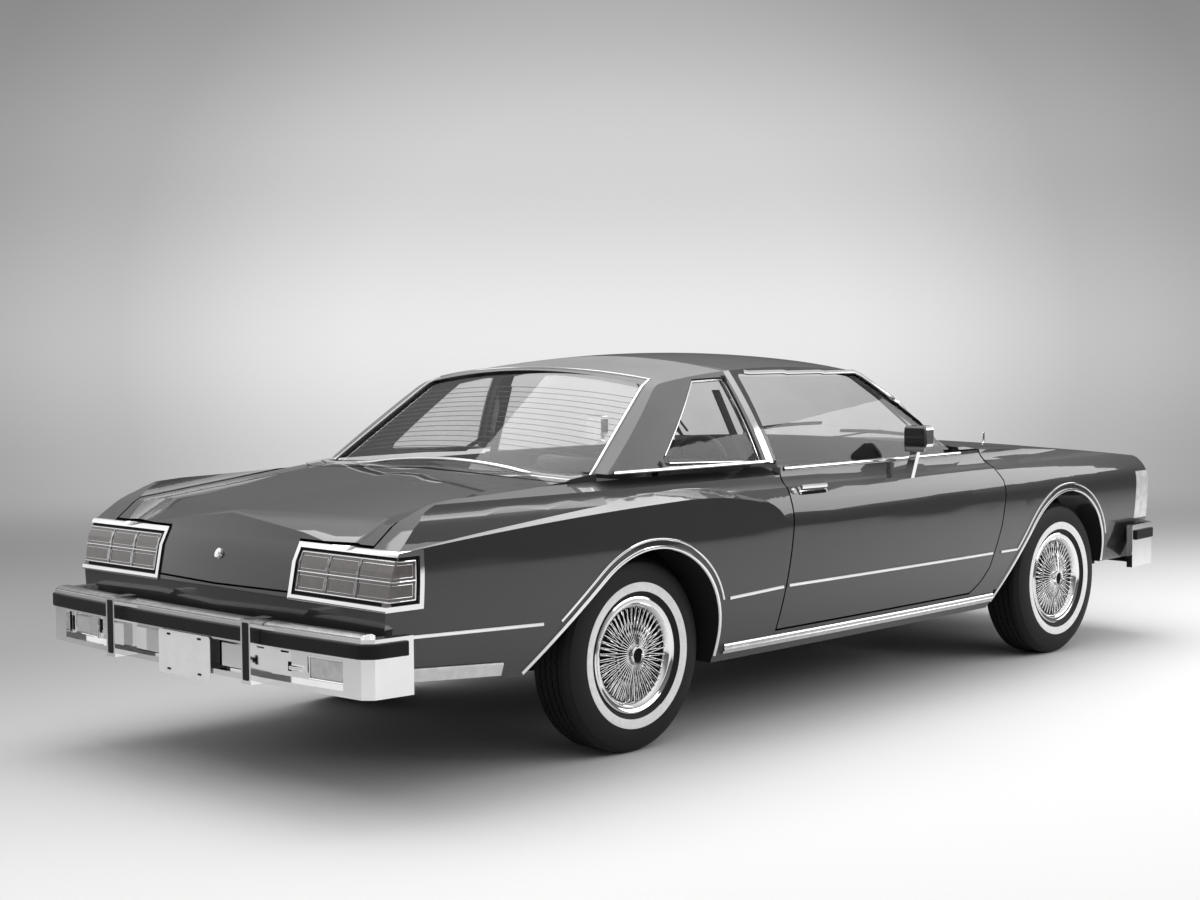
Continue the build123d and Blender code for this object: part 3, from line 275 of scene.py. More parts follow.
# %% Assign the finishes
finish_by_slot = {
    "paint": paint, "vinyl": vinyl, "chrome": chrome, "bumper_rubber": rubber, "glass": window_glass,
    "tyre": tyre_rubber, "lamp_red": lens_red, "steel_dark": undercoat, "engine": casting,
    "trim_dark": dark_plastic, "upholstery": seat_vinyl, "headlamp_glass": lens_clear,
}
for part in frame["record"]["subparts"]:
    mesh = nodes[part["node"]].data
    mesh.materials.clear()
    mesh.materials.append(finish_by_slot[part["material_slot"]])

# %% [markdown]
# ## Touching the body
# Most of the brightwork is a small section drawn along the body. It could be placed by typed coordinates, but
# they would float or sink as the panels curve. The honest way is to touch the body: a ray is shot at the
# panel, and gives a point and the way that the panel faces there.

# %% Rays and runs
SIDES = (("left", 1), ("right", -1))
BESIDE = 1.3
BEHIND = -3.2
AHEAD = 3.2
ABOVE = 1.4
UP = (0, 0, 1)


def touch(origin, direction, names):
    """The nearest point where a ray meets one of these nodes, with the outward direction there."""
    best = None
    for name in names:
        hit, point, normal, _ = nodes[name].ray_cast(Vector(origin), Vector(direction))
        if hit and (best is None or (point - Vector(origin)).length < (best[0] - Vector(origin)).length):
            facing = normal if normal.dot(Vector(direction)) < 0 else -normal
            best = (point.copy(), facing.normalized())
    return best


def beside(names, side, x, z):
    """Touches from one side of the car."""
    return touch((x, side * BESIDE, z), (0, -side, 0), names)


def behind(names, y, z):
    return touch((BEHIND, y, z), (1, 0, 0), names)


def ahead_of(names, y, z):
    return touch((AHEAD, y, z), (-1, 0, 0), names)


def above(names, x, y, height=ABOVE):
    return touch((x, y, height), (0, 0, -1), names)


def steps(start, end, size):
    """Evenly spaced numbers from start to end, about size apart."""
    count = max(1, round(abs(end - start) / size))
    return [start + (end - start) * i / count for i in range(count + 1)]


def along(corners, step):
    """Points every so often along a run of straight lines."""
    spots = [Vector(corners[0])]
    for start, end in zip(corners, corners[1:]):
        start, end = Vector(start), Vector(end)
        count = max(1, round((end - start).length / step))
        spots += [start.lerp(end, (i + 1) / count) for i in range(count)]
    return spots


def side_run(names, side, corners, step=0.05):
    """Touches the body side at each (x, z) along a run."""
    return [beside(names, side, spot[0], spot[1]) for spot in along(corners, step)]


def lifted_run(points, outward, names, reach=0.4):
    """Touches a surface along points, from outside it."""
    outward = Vector(outward).normalized()
    return [touch(Vector(p) + outward * reach, -outward, names) for p in points]


bpy.context.view_layer.update()
print("a ray at the door meets", beside(["door_right"], -1, 0.3, 0.6)[0])

# %% [markdown]
# ## Drawing a section along a run
# A rolled moulding has one section from end to end. A curve with a bevel object would do, but its section
# twists where the run bends. Here the section is a ring of a few vertices, and each extrusion carries it to
# the next touch and turns it to the way that the panel faces there.

# %% Sweeps and sections
SUNK = -0.003


def places(run, lift=0.0):
    """A frame at every point of a run: across, outward, onward."""
    frames = []
    for index, (point, normal) in enumerate(run):
        before = run[max(0, index - 1)][0]
        after = run[min(len(run) - 1, index + 1)][0]
        onward = (after - before).normalized()
        outward = (normal - onward * normal.dot(onward)).normalized()
        across = outward.cross(onward)
        turn = Matrix((across, outward, onward)).transposed().to_4x4()
        frames.append(Matrix.Translation(point + outward * lift) @ turn)
    return frames


def sweep(shape, section, frames):
    """Draws a closed section at the first frame and extrudes it through the others, with both ends capped."""
    ring = [shape.verts.new(frames[0] @ Vector((u, v, 0))) for u, v in section]
    edges = [shape.edges.new((a, b)) for a, b in zip(ring, ring[1:] + ring[:1])]
    bmesh.ops.contextual_create(shape, geom=edges)
    for last, place in zip(frames, frames[1:]):
        made = bmesh.ops.extrude_edge_only(shape, edges=edges)["geom"]
        fresh = {g for g in made if isinstance(g, bmesh.types.BMVert)}
        edges = [g for g in made if isinstance(g, bmesh.types.BMEdge) and set(g.verts) <= fresh]
        bmesh.ops.transform(shape, matrix=place @ last.inverted(), verts=list(fresh))
    bmesh.ops.contextual_create(shape, geom=edges)


def trim(shape, section, run, lift=0.0):
    """Sweeps a section along the touches of a run, without the rays that missed."""
    sweep(shape, section, places([spot for spot in run if spot], lift))


def half_round(width, proud):
    """A moulding section that is set a little into the panel."""
    half = width / 2
    return [(-half, SUNK), (-half, proud * 0.45), (-half * 0.6, proud * 0.9), (0, proud),
            (half * 0.6, proud * 0.9), (half, proud * 0.45), (half, SUNK)]


def flat_bar(width, proud, round_off=0.002):
    """A flat strip with its outer corners taken off."""
    half = width / 2
    return [(-half, SUNK), (-half, proud - round_off), (-half + round_off, proud), (half - round_off, proud),
            (half, proud - round_off), (half, SUNK)]


print("a half-round moulding has", len(half_round(0.01, 0.005)), "corners")

# %% [markdown]
# ## Small solids and finished pieces
# Beside the sweeps there are bars, boxes and turned parts, which start from a bmesh cube or cone, or from a
# spun line. Every piece is closed in one place, which merges its doubles, turns its faces outward, marks its
# sharp edges and lets it ride on a body, so that no piece can miss a step.

# %% Boxes, rods, spun parts and finished pieces


def boxed(shape, low, high):
    """A box between two corners."""
    low, high = Vector(low), Vector(high)
    place = Matrix.Translation((low + high) / 2) @ Matrix.Diagonal((*[abs(v) for v in high - low], 1))
    return bmesh.ops.create_cube(shape, size=1, matrix=place)["verts"]


def eased(shape, edges, offset, segments):
    """Bevels these edges round."""
    bmesh.ops.bevel(shape, geom=list(edges), offset=offset, affect="EDGES", segments=segments, profile=0.5,
                    material=-1)


def rounded_box(shape, low, high, axis, radius, segments=4):
    """A box with the four edges along one axis rounded."""
    edges = {edge for vert in boxed(shape, low, high) for edge in vert.link_edges
             if abs((edge.verts[0].co - edge.verts[1].co).normalized()[axis]) > 0.9}
    eased(shape, edges, radius, segments)


def rod(shape, start, end, radius, tip=None, sides=8):
    """A round bar between two points."""
    start, end = Vector(start), Vector(end)
    turn = (end - start).to_track_quat("Z", "Y").to_matrix().to_4x4()
    bmesh.ops.create_cone(
        shape, cap_ends=True, segments=sides, radius1=radius, radius2=radius if tip is None else tip,
        depth=(end - start).length, matrix=Matrix.Translation((start + end) / 2) @ turn)


def spun(shape, profile, centre, count):
    """Spins a run of (across, radius) points about a cross-car axis."""
    chain = [shape.verts.new(centre + Vector((0, across, radius))) for across, radius in profile]
    edges = [shape.edges.new(pair) for pair in zip(chain, chain[1:])]
    bmesh.ops.spin(shape, geom=chain + edges, cent=centre, axis=(0, 1, 0), angle=2 * math.pi, steps=count,
                   use_merge=True)


def finish_piece(name, shape, finishes, body, smooth=30):
    """Closes a bmesh into an object that rides on a body."""
    bmesh.ops.remove_doubles(shape, verts=shape.verts, dist=0.00002)
    bmesh.ops.recalc_face_normals(shape, faces=shape.faces)
    mesh = bpy.data.meshes.new(name)
    shape.to_mesh(mesh)
    shape.free()
    for finish in finishes:
        mesh.materials.append(finish)
    for face in mesh.polygons:
        face.use_smooth = True
    mesh.set_sharp_from_angle(angle=math.radians(smooth))
    piece = bpy.data.objects.new(name, mesh)
    scene.collection.objects.link(piece)
    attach(piece, body)
    return piece


def trim_piece(name, jobs, finish=chrome, body="body"):
    """A piece of sweeps alone: each job is a section and the run that it follows."""
    shape = bmesh.new()
    for section, run in jobs:
        trim(shape, section, run)
    return finish_piece(name, shape, [finish], body)


print("tools ready")

# %% [markdown]
# ## Tyres
# A whitewall radial: a bulging sidewall with one white band on the outer side, rounded shoulders, and a tread
# of ribs between zigzag grooves. Cutting the grooves with booleans would be slow. The profile is spun about
# the axle, and shifting every other step of the tread sideways makes the zigzag, as a mould maker draws it.

# %% Tyres
wheel_names = ("front_left", "front_right", "rear_left", "rear_right")
TREAD_STEPS = 144
GROOVES = (0.042, 0.014, -0.014, -0.042)
GROOVE_FLOOR, TREAD_RADIUS = 0.3430, 0.3495
ZIGZAG = 0.0035
WHITE_BAND = (0.2277, 0.2608)


def tyre_profile(side):
    """Across and radius, from the outer bead over the tread to the inner bead."""
    outer = [(0.072, 0.190), (0.079, 0.209), (0.084, 0.2092), (0.096, 0.2275), (0.0985, 0.228),
             (0.1025, 0.246), (0.1025, 0.2605), (0.1012, 0.261), (0.1016, 0.285), (0.094, 0.318),
             (0.0875, 0.331), (0.084, 0.3325), (0.074, 0.3455), (0.064, 0.3485)]
    tread = []
    for groove in GROOVES:
        tread += [(groove + 0.0035, TREAD_RADIUS), (groove + 0.0025, GROOVE_FLOOR),
                  (groove - 0.0025, GROOVE_FLOOR), (groove - 0.0035, TREAD_RADIUS)]
    inner = [(-across, radius) for across, radius in reversed(outer)]
    return [(side * across, radius) for across, radius in outer + tread + inner]


def wheel_place(name):
    """The centre of a wheel, and the side of the car that it is on."""
    low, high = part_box(name)
    return (low + high) / 2, 1 if name.endswith("left") else -1


for name in wheel_names:
    centre, side = wheel_place("tyre_" + name)
    shape = bmesh.new()
    spun(shape, tyre_profile(side), centre, TREAD_STEPS)
    for vert in shape.verts:
        spoke = vert.co - centre
        if math.hypot(spoke.x, spoke.z) > 0.342 and abs(spoke.y) < 0.060:
            step = round(math.atan2(spoke.x, spoke.z) / (2 * math.pi) * TREAD_STEPS)
            vert.co.y += ZIGZAG if step % 2 else -ZIGZAG
    for face in shape.faces:
        spoke = face.calc_center_median() - centre
        if WHITE_BAND[0] < math.hypot(spoke.x, spoke.z) < WHITE_BAND[1] and spoke.y * side > 0:
            face.material_index = 1
    tyre = finish_piece("tyre_" + name + "_treaded", shape, [tyre_rubber, white_wall], "wheel_" + name,
                        40)
    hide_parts("tyre_" + name)
print("tyres of", len(tyre.data.polygons), "faces")

# %% [markdown]
# ## Wire wheel covers
# The cover is a bright dished ring that clips into the rim, with a forest of thin rods laced from a raised
# hub to the ring, and a dark pressing behind them. Curves with a bevel would make heavy rods, and there are
# over five hundred of them. One rod here is a six-sided cone, and the rods cross because each one ends a few
# degrees round from where it starts.

# %% Wheel covers
SPOKES = 44
RING = [(0.078, 0.2055), (0.088, 0.2085), (0.0905, 0.203), (0.0885, 0.197), (0.0845, 0.190), (0.0845, 0.186),
        (0.0865, 0.1835), (0.083, 0.178), (0.074, 0.170), (0.060, 0.1655), (0.040, 0.164)]
HUB = [(0.050, 0.050), (0.066, 0.049), (0.070, 0.044), (0.074, 0.0435), (0.084, 0.041), (0.088, 0.036),
       (0.100, 0.034), (0.1035, 0.031), (0.1025, 0.026), (0.096, 0.0235)]
HUB_CAP = [(0.097, 0.0001), (0.097, 0.024), (0.092, 0.024)]
# for each layer of rods: how far out and how wide it starts on the hub, how far out it ends, and its lace
LACING = ((0.087, 0.036, 0.066, 9), (0.071, 0.042, 0.077, -9), (0.060, 0.047, 0.050, 5))
ROD_END = 0.169


def on_wheel(centre, side, radius, out, turn):
    return centre + Vector((radius * math.cos(turn), side * out, radius * math.sin(turn)))


def turned(shape, profile, centre, side, count):
    spun(shape, [(side * across, radius) for across, radius in profile], centre, count)


for name in wheel_names:
    nodes["wheel_" + name].data.materials[0] = matte_black
    centre, side = wheel_place("wheel_" + name)
    shape = bmesh.new()
    turned(shape, RING, centre, side, 96)
    turned(shape, HUB, centre, side, 48)
    for index in range(SPOKES):
        for layer, (hub_out, hub_radius, ring_out, lace) in enumerate(LACING):
            turn = 2 * math.pi * (index + layer / 3) / SPOKES
            inner = on_wheel(centre, side, hub_radius, hub_out, turn)
            outer = on_wheel(centre, side, ROD_END, ring_out, turn + math.radians(lace))
            rod(shape, inner, outer, 0.0021, 0.0017, 6)
    cover = finish_piece("wire_cover_" + name, shape, [chrome], "wheel_" + name)
    shape = bmesh.new()
    turned(shape, HUB_CAP, centre, side, 32)
    finish_piece("hub_centre_" + name, shape, [matte_black], "wheel_" + name)
print("wheel covers of", len(cover.data.polygons), "faces")

# %% [markdown]
# ## Waist and rocker mouldings
# A thin moulding runs along the waist of each panel, and a broad one covers the rocker. One long strip would
# tear when a door opens, so each panel carries its own length. All of them are sweeps along rays that touch
# the panels.

# %% Waist and rocker
WAIST_SECTION = half_round(0.013, 0.007)
ROCKER_LINE = [(-0.838, 0.320), (1.115, 0.320)]
ROCKER_TAIL = [(-2.345, 0.424), (-1.905, 0.392)]


def waist_and_rocker(word, side):
    quarter, fender, door = "quarter_panel_" + word, "front_fender_" + word, "door_" + word
    for label, node, body, line in (
            ("waist_quarter_rear_", quarter, "body", [(-2.318, 0.545), (-1.742, 0.524)]),
            ("waist_quarter_front_", quarter, "body", [(-0.800, 0.514), (-0.490, 0.526)]),
            ("waist_door_", door, door, [(-0.456, 0.528), (0.995, 0.524)]),
            ("waist_fender_", fender, "body", [(1.020, 0.524), (1.205, 0.523)])):
        trim_piece(label + word, [(WAIST_SECTION, side_run([node], side, line))], chrome, body)
    shape = bmesh.new()
    trim(shape, flat_bar(0.040, 0.009, 0.004), side_run(["sills"], side, ROCKER_LINE), 0.002)
    trim(shape, half_round(0.010, 0.006), side_run(["sills"], side, ROCKER_LINE), 0.010)
    trim(shape, flat_bar(0.048, 0.009, 0.004), side_run([quarter], side, ROCKER_TAIL), 0.002)
    finish_piece("rocker_moulding_" + word, shape, [satin_chrome], "body")


print("the rocker moulding is", round(ROCKER_LINE[1][0] - ROCKER_LINE[0][0], 3), "m long")

# %% [markdown]
# ## Wheel opening trims
# Two bright lines follow each wheel opening: a lip at its edge, and a finer bead outside it. The edge itself
# could be traced from the panel's mesh, but a circle from the hub, with the straight rear edge that such an
# opening has, is all that the opening is. So the lines are arcs about the axle, dropped onto the panels.

# %% Arches, with the mouldings of each side
axle_rear, _ = wheel_place("tyre_rear_left")
axle_front, _ = wheel_place("tyre_front_left")
# for each hub: x, z, the radius of the opening's lip, and the angle at which its rear edge turns straight
REAR_HUB = (axle_rear.x + 0.018, axle_rear.z, 0.381, math.radians(130))
FRONT_HUB = (axle_front.x + 0.015, axle_front.z, 0.405, math.radians(140))
ARC_STEPS = 40
LIP, BEAD = half_round(0.014, 0.008), half_round(0.009, 0.006)


def arch_line(hub, grow, low_front, low_rear):
    """Side-view points round a wheel opening: up the front edge, over, and down the straight rear edge."""
    x, z, radius, corner = hub
    radius += grow
    spots = [(x + radius, low_front)] if low_front < z - 0.01 else []
    begin = 0.0 if low_front < z else math.asin((low_front - z) / radius)
    for i in range(ARC_STEPS + 1):
        angle = begin + (corner - begin) * i / ARC_STEPS
        spots.append((x + radius * math.cos(angle), z + radius * math.sin(angle)))
    last_x, last_z = spots[-1]
    run = (last_z - low_rear) / -math.cos(corner)
    spots.append((last_x - run * math.sin(corner), low_rear))
    return spots


for word, side in SIDES:
    waist_and_rocker(word, side)
    side_names = ["quarter_panel_" + word, "front_fender_" + word, "sills"]
    for label, hub, lip_ends, bead_ends in (("rear_", REAR_HUB, (0.300, 0.362), (0.514, 0.524)),
                                            ("front_", FRONT_HUB, (0.395, 0.300), (0.530, 0.523))):
        trim_piece("arch_trim_" + label + word,
                   [(LIP, side_run(side_names, side, arch_line(hub, 0.007, *lip_ends), 0.03)),
                    (BEAD, side_run(side_names, side, arch_line(hub, 0.036, *bead_ends), 0.03))])
print("mouldings and arches on both sides")

# %% [markdown]
# ## Tail lamps
# Each lamp wraps the corner of the tail inside a bright bezel. Between bezel and lens runs a gap, drawn as a
# matte black strip: painted shade that stands in for the shadow in the gap. Then a thin bright frame divides
# the lens into three columns and two rows, and every cell has a fine outline pressed into the plastic. The
# bars could be cut from the lens by booleans. Touching the lens with rays and sweeping a small section is
# quicker, and follows the wrap exactly.

# %% Tail lamp frames
LENS = ["tail_lamps"]
LENS_CORNER = 0.872
LENS_END = -2.294
COLUMNS = (0.411, 0.561, 0.714)
ROWS = (0.664, 0.7255, 0.787)
INSET = 0.011
GAP_ROWS, GAP_LOW, GAP_HIGH = (0.656, 0.7955), 0.653, 0.799
GAP_INNER, GAP_COLUMN, GAP_END, GAP_OUTER = 0.398, 0.402, -2.282, -2.286
BAR = half_round(0.0055, 0.0045)
OUTLINE = half_round(0.0020, 0.0020)
GAP = flat_bar(0.0105, 0.0020, 0.0005)


def level(names, side, z, inner_y, outer_y, size=0.05):
    """Touches a piece from behind along a level line on one side of the car."""
    return [behind(names, side * y, z) for y in steps(inner_y, outer_y, size)]


def upright(names, side, y, low_z, high_z):
    return [behind(names, side * y, z) for z in steps(low_z, high_z, 0.03)]


def wrapped(names, side, z, inner_y, corner_y, end_x):
    """Touches a piece from behind as far as its corner, then along the side."""
    run = level(names, side, z, inner_y, corner_y, 0.03)
    start_x = run[-1][0].x + 0.012
    return run + [beside(names, side, x, z) for x in steps(start_x, end_x, 0.03)]


def lamp_frame(side):
    """The bars of one lamp, then the outlines of its cells."""
    jobs = [(BAR, wrapped(LENS, side, z, COLUMNS[0], LENS_CORNER, LENS_END)) for z in ROWS]
    jobs += [(BAR, upright(LENS, side, y, ROWS[0], ROWS[2])) for y in COLUMNS]
    jobs.append((BAR, side_run(LENS, side, [(LENS_END, ROWS[0]), (LENS_END, ROWS[2])])))
    for low_z, high_z in zip(ROWS, ROWS[1:]):
        low_z, high_z = low_z + INSET, high_z - INSET
        for inner_y, outer_y in zip(COLUMNS, COLUMNS[1:]):
            inner_y, outer_y = inner_y + INSET, outer_y - INSET
            jobs += [(OUTLINE, level(LENS, side, z, inner_y, outer_y)) for z in (low_z, high_z)]
            jobs += [(OUTLINE, upright(LENS, side, y, low_z, high_z)) for y in (inner_y, outer_y)]
        inner_y, end_x = COLUMNS[2] + INSET, LENS_END - INSET
        jobs += [(OUTLINE, wrapped(LENS, side, z, inner_y, LENS_CORNER, end_x)) for z in (low_z, high_z)]
        jobs.append((OUTLINE, upright(LENS, side, inner_y, low_z, high_z)))
        jobs.append((OUTLINE, side_run(LENS, side, [(end_x, low_z), (end_x, high_z)])))
    return jobs


for word, side in SIDES:
    trim_piece("tail_lamp_frame_" + word, lamp_frame(side))
    # the gap between bezel and lens is painted shade: a matte black strip where the gap would lie in shadow
    gaps = [(GAP, wrapped(LENS, side, z, GAP_INNER, LENS_CORNER, GAP_END)) for z in GAP_ROWS]
    gaps.append((GAP, upright(LENS, side, GAP_COLUMN, GAP_LOW, GAP_HIGH)))
    gaps.append((GAP, side_run(LENS, side, [(GAP_OUTER, GAP_LOW), (GAP_OUTER, GAP_HIGH)])))
    trim_piece("tail_lamp_gap_painted_shade_" + word, gaps, matte_black, "body")
print("lamp frames with", len(COLUMNS), "by", len(ROWS) - 1, "cells")

# %% [markdown]
# ## Rear bumper rubber and crown
# The pressed bumper carries a rubber strip round its face and a rubber pad on each guard, and its top edge
# is rolled into a soft crown, broken at the guards. They could be part of the CAD bumper, but they are thin
# and follow its bend, so they are swept along it.

# %% Rear strip, guard pads and crown
REAR = ["rear_bumper"]
STRIP = flat_bar(0.046, 0.011, 0.003)
STRIP_Z = 0.5285
GUARD_Y, GUARD_CLEAR, PAD_HALF = 0.397, 0.027, 0.017
CROWN = half_round(0.062, 0.013)
CROWN_Z, CROWN_SETBACK = 0.556, 0.034
bumper_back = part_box("rear_bumper")[0].x


def guard_pad(shape, low_x, high_x, guard_y, top):
    """A rubber pad on the face of the guard at guard_y."""
    rounded_box(shape, (low_x, guard_y - PAD_HALF, 0.392), (high_x, guard_y + PAD_HALF, top), 0, 0.006)


shape = bmesh.new()
between = GUARD_Y - GUARD_CLEAR
trim(shape, STRIP, [behind(REAR, y, STRIP_Z) for y in steps(-between, between, 0.05)])
for _, side in SIDES:
    run = level(REAR, side, STRIP_Z, GUARD_Y + GUARD_CLEAR, 0.880)
    run += [behind(REAR, side * y, STRIP_Z) for y in (0.892, 0.914)]
    run += [beside(REAR, side, x, STRIP_Z) for x in steps(-2.480, -2.372, 0.04)]
    trim(shape, STRIP, run)
    guard_pad(shape, bumper_back - 0.0008, bumper_back + 0.006, side * GUARD_Y, 0.578)
finish_piece("rear_bumper_rubber", shape, [rubber], "body")

crown = []
for low_y, high_y in ((-0.880, -0.425), (-0.369, 0.369), (0.425, 0.880)):
    faces = [behind(REAR, y, CROWN_Z)[0] for y in steps(low_y, high_y, 0.05)]
    crown.append((CROWN, [above(REAR, spot.x + CROWN_SETBACK, spot.y, 0.9) for spot in faces]))
trim_piece("rear_bumper_crown", crown, satin_chrome)
print("crown in", len(crown), "lengths")

# %% [markdown]
# ## Lower face of the rear bumper
# The lower face is stamped: a backing lamp in a bright rim, raised blocks beside the plate, and slots between
# them. Each slot is a matte black strip, painted shade that stands in for the shadow inside the opening. The
# real stampings are shallow, so each is drawn as a broad, low section along the bumper instead of being
# pressed into its surface.

# %% Backing lamps, stampings and slots
LAMP_RIM = half_round(0.008, 0.012)
LAMP_PANE = flat_bar(0.064, 0.008, 0.003)
# for each slot, a strip of painted shade: where it starts and ends across the car, its height, and how tall
# it is
SLOTS = ((0.150, 0.182, 0.4475, 0.094), (0.505, 0.518, 0.440, 0.030), (0.600, 0.609, 0.455, 0.050),
         (0.791, 0.799, 0.445, 0.052), (0.470, 0.505, 0.487, 0.010))
for word, side in SIDES:
    trim_piece("backing_lamp_" + word, [(LAMP_PANE, level(REAR, side, 0.449, 0.622, 0.778, 0.04))],
               lens_clear, "body")
    pressing = [(LAMP_RIM, level(REAR, side, z, 0.615, 0.785, 0.04)) for z in (0.414, 0.484)]
    pressing += [(LAMP_RIM, upright(REAR, side, y, 0.412, 0.486)) for y in (0.617, 0.783)]
    pressing.append((half_round(0.016, 0.012), level(REAR, side, 0.438, 0.520, 0.580, 0.03)))
    pressing.append((flat_bar(0.088, 0.018, 0.006), level(REAR, side, 0.4475, 0.184, 0.330, 0.04)))
    trim_piece("lower_bumper_pressing_" + word, pressing)
    # each slot is painted shade: a matte black strip in place of the shadow inside the opening
    slots = [(flat_bar(tall, 0.002, 0.0005), [behind(REAR, side * y, z) for y in (low_y, high_y)])
             for low_y, high_y, z, tall in SLOTS]
    trim_piece("bumper_slot_painted_shade_" + word, slots, matte_black, "body")
print("lower face with", 2 * len(SLOTS), "slots")

# %% [markdown]
# ## Blank licence plate
# The plate is a thin pressed sheet with a rolled lower edge and four slots for its screws, and it is left
# blank. The sheet is a rounded box and its rolled edge a short level sweep. The slots could be cut, but matte
# black plugs a hair proud of the sheet, painted shade for the shadow inside each slot, look the same and need
# no boolean.

# %% Plate
plate_x = bumper_back + 0.034
shape = bmesh.new()
rounded_box(shape, (plate_x, -0.150, 0.353), (plate_x + 0.0018, 0.150, 0.501), 0, 0.012)
facing_back = Matrix(((0, -1, 0), (0, 0, 1), (-1, 0, 0))).to_4x4()
sweep(shape, half_round(0.004, 0.0012),
      [Matrix.Translation((plate_x + 0.001, y, 0.358)) @ facing_back for y in (-0.138, 0.138)])
finish_piece("plate_blank", shape, [plate_white], "body")
# the screw slots are painted shade: matte black plugs where the slots would show shadow
shape = bmesh.new()
for y in (-0.089, 0.089):
    for z in (0.488, 0.370):
        rounded_box(shape, (plate_x - 0.0006, y - 0.011, z - 0.0035),
                    (plate_x + 0.002, y + 0.011, z + 0.0035), 0, 0.003)
finish_piece("plate_slot_painted_shade", shape, [matte_black], "body")
print("plate at", round(plate_x, 3))

# %% [markdown]
# ## Door window mouldings
# A belt moulding runs under the door glass, and a drip moulding follows the roof over it and comes down the
# windshield post. The drip line isn't typed in: rays walk down the side until they meet the glass, which
# gives its upper edge, and the line is that edge moved out square to itself.

# %% Belt and drip mouldings
BELT_LINE = [(-0.440, 0.966), (0.845, 0.966)]
GLASS_BASE = 0.99
DRIP_OFFSET = 0.019


def glass_top(side, x, names, high_z=1.40, low_z=0.98):
    """The height at which a glass begins, seen from the side."""
    for z in steps(high_z, low_z, 0.004):
        if beside(names, side, x, z):
            return z
    return None


def drip_line(word, side):
    """Side-view points a little outside the upper edge of the door glass."""
    tops = [(x, glass_top(side, x, ["door_glass_" + word])) for x in steps(-0.400, 0.800, 0.03)]
    tops = [Vector(spot) for spot in tops if spot[1] and spot[1] > GLASS_BASE]
    line = []
    for index, spot in enumerate(tops):
        run = (tops[min(index + 1, len(tops) - 1)] - tops[max(index - 1, 0)]).normalized()
        line.append(tuple(spot + Vector((-run.y, run.x)) * DRIP_OFFSET))
    return line


def door_window(word, side):
    door = "door_" + word
    trim_piece("belt_moulding_" + word, [(half_round(0.015, 0.007), side_run([door], side, BELT_LINE))],
               chrome, door)
    trim_piece("drip_moulding_" + word,
               [(half_round(0.017, 0.008), side_run(["roof_front"], side, drip_line(word, side), 0.03))])


print("the left drip line has", len(drip_line("left", 1)), "points")

# %% [markdown]
# ## Opera windows and the edge of the vinyl
# The small fixed window in the roof's side has a rubber gasket round it and a fine bright rim inside that. A
# rim could be an offset of the glass's own edge, but the pane and the opening differ a little. Scaling the
# four corners about their middle gives both lines from one list. A bright strip hides the vinyl's lower edge.

# %% Opera windows and vinyl edge, with the door mouldings of each side
OPERA = ((-1.053, 1.008), (-0.480, 0.988), (-0.521, 1.322), (-0.713, 1.316))
VINYL_LINE = [(-1.335, 0.998), (-0.445, 0.998)]
ROOF_SIDE = ["roof_rear", "roof_band"]


def opera_ring(side, scale, names):
    """A closed run round the opera window, with its corners scaled about their middle."""
    middle = Vector((sum(x for x, z in OPERA) / 4, sum(z for x, z in OPERA) / 4))
    corners = [middle + (Vector(corner) - middle) * scale for corner in OPERA]
    return side_run(names, side, [tuple(corner) for corner in corners + corners[:1]], 0.04)


for word, side in SIDES:
    door_window(word, side)
    trim_piece("opera_rim_" + word, [(half_round(0.007, 0.005), opera_ring(side, 0.93, ["opera_windows"]))])
    trim_piece("opera_gasket_" + word,
               [(flat_bar(0.020, 0.004, 0.001), opera_ring(side, 0.985, ["opera_windows", *ROOF_SIDE]))],
               rubber, "body")
    trim_piece("vinyl_edge_" + word, [(half_round(0.014, 0.008), side_run(ROOF_SIDE, side, VINYL_LINE))])
print("side windows trimmed")

# %% [markdown]
# ## Rear window and windshield trims
# The two large panes slope, so a ray from the side or from above would graze them. Their trims are touched
# along rays that come square to the slope instead, from a short way outside it. Only the foot of the rear
# window is touched from above, because it lies on the deck.

# %% Rear window and windshield
REAR_SLOPE = (-0.60, 0, 0.80)
FRONT_SLOPE = (0.6, 0, 0.8)
BACK_NAMES = ["roof_rear", "rear_window", "deck_panel"]
FINE_TRIM = half_round(0.010, 0.006)
post_lines = [along([(-0.905, side * 0.592, 1.326), (-1.352, side * 0.722, 0.998)], 0.05) for side in (-1, 1)]
top_line = [(-0.900, y, 1.34) for y in steps(-0.590, 0.590, 0.06)]
base_line = [(-1.395, y, 1.00) for y in steps(-0.735, 0.735, 0.06)]
rear_trims = [(FINE_TRIM, lifted_run(line, REAR_SLOPE, BACK_NAMES)) for line in (*post_lines, top_line)]
rear_trims.append((half_round(0.012, 0.007), lifted_run(base_line, UP, BACK_NAMES)))
trim_piece("rear_window_trim", rear_trims)
post_lines = [along([(0.900, side * 0.700, 1.012), (0.430, side * 0.600, 1.345)], 0.05) for side in (-1, 1)]
trim_piece("windshield_trim",
           [(FINE_TRIM, lifted_run(line, FRONT_SLOPE, ["roof_front", "windshield"])) for line in post_lines])
print("windows trimmed")

# %% [markdown]
# ## Door handles and locks
# A pull handle is a bright bar over a finger recess, with a round lock beside it. Cutting the recess into the
# door would thin its skin, so the recess is a matte black strip under the bar: painted shade that stands in
# for the shadow in the hollow, and it reads the same from a step away. All of it rides on the door.

# %% Handles
HANDLE_Z = 0.884
PLATE_LINE = [(-0.372, HANDLE_Z), (-0.200, HANDLE_Z)]
BAR_LINE = [(-0.364, 0.890), (-0.208, 0.890)]
RECESS_LINE = [(-0.362, 0.8735), (-0.210, 0.8735)]
LOCK_X = -0.400


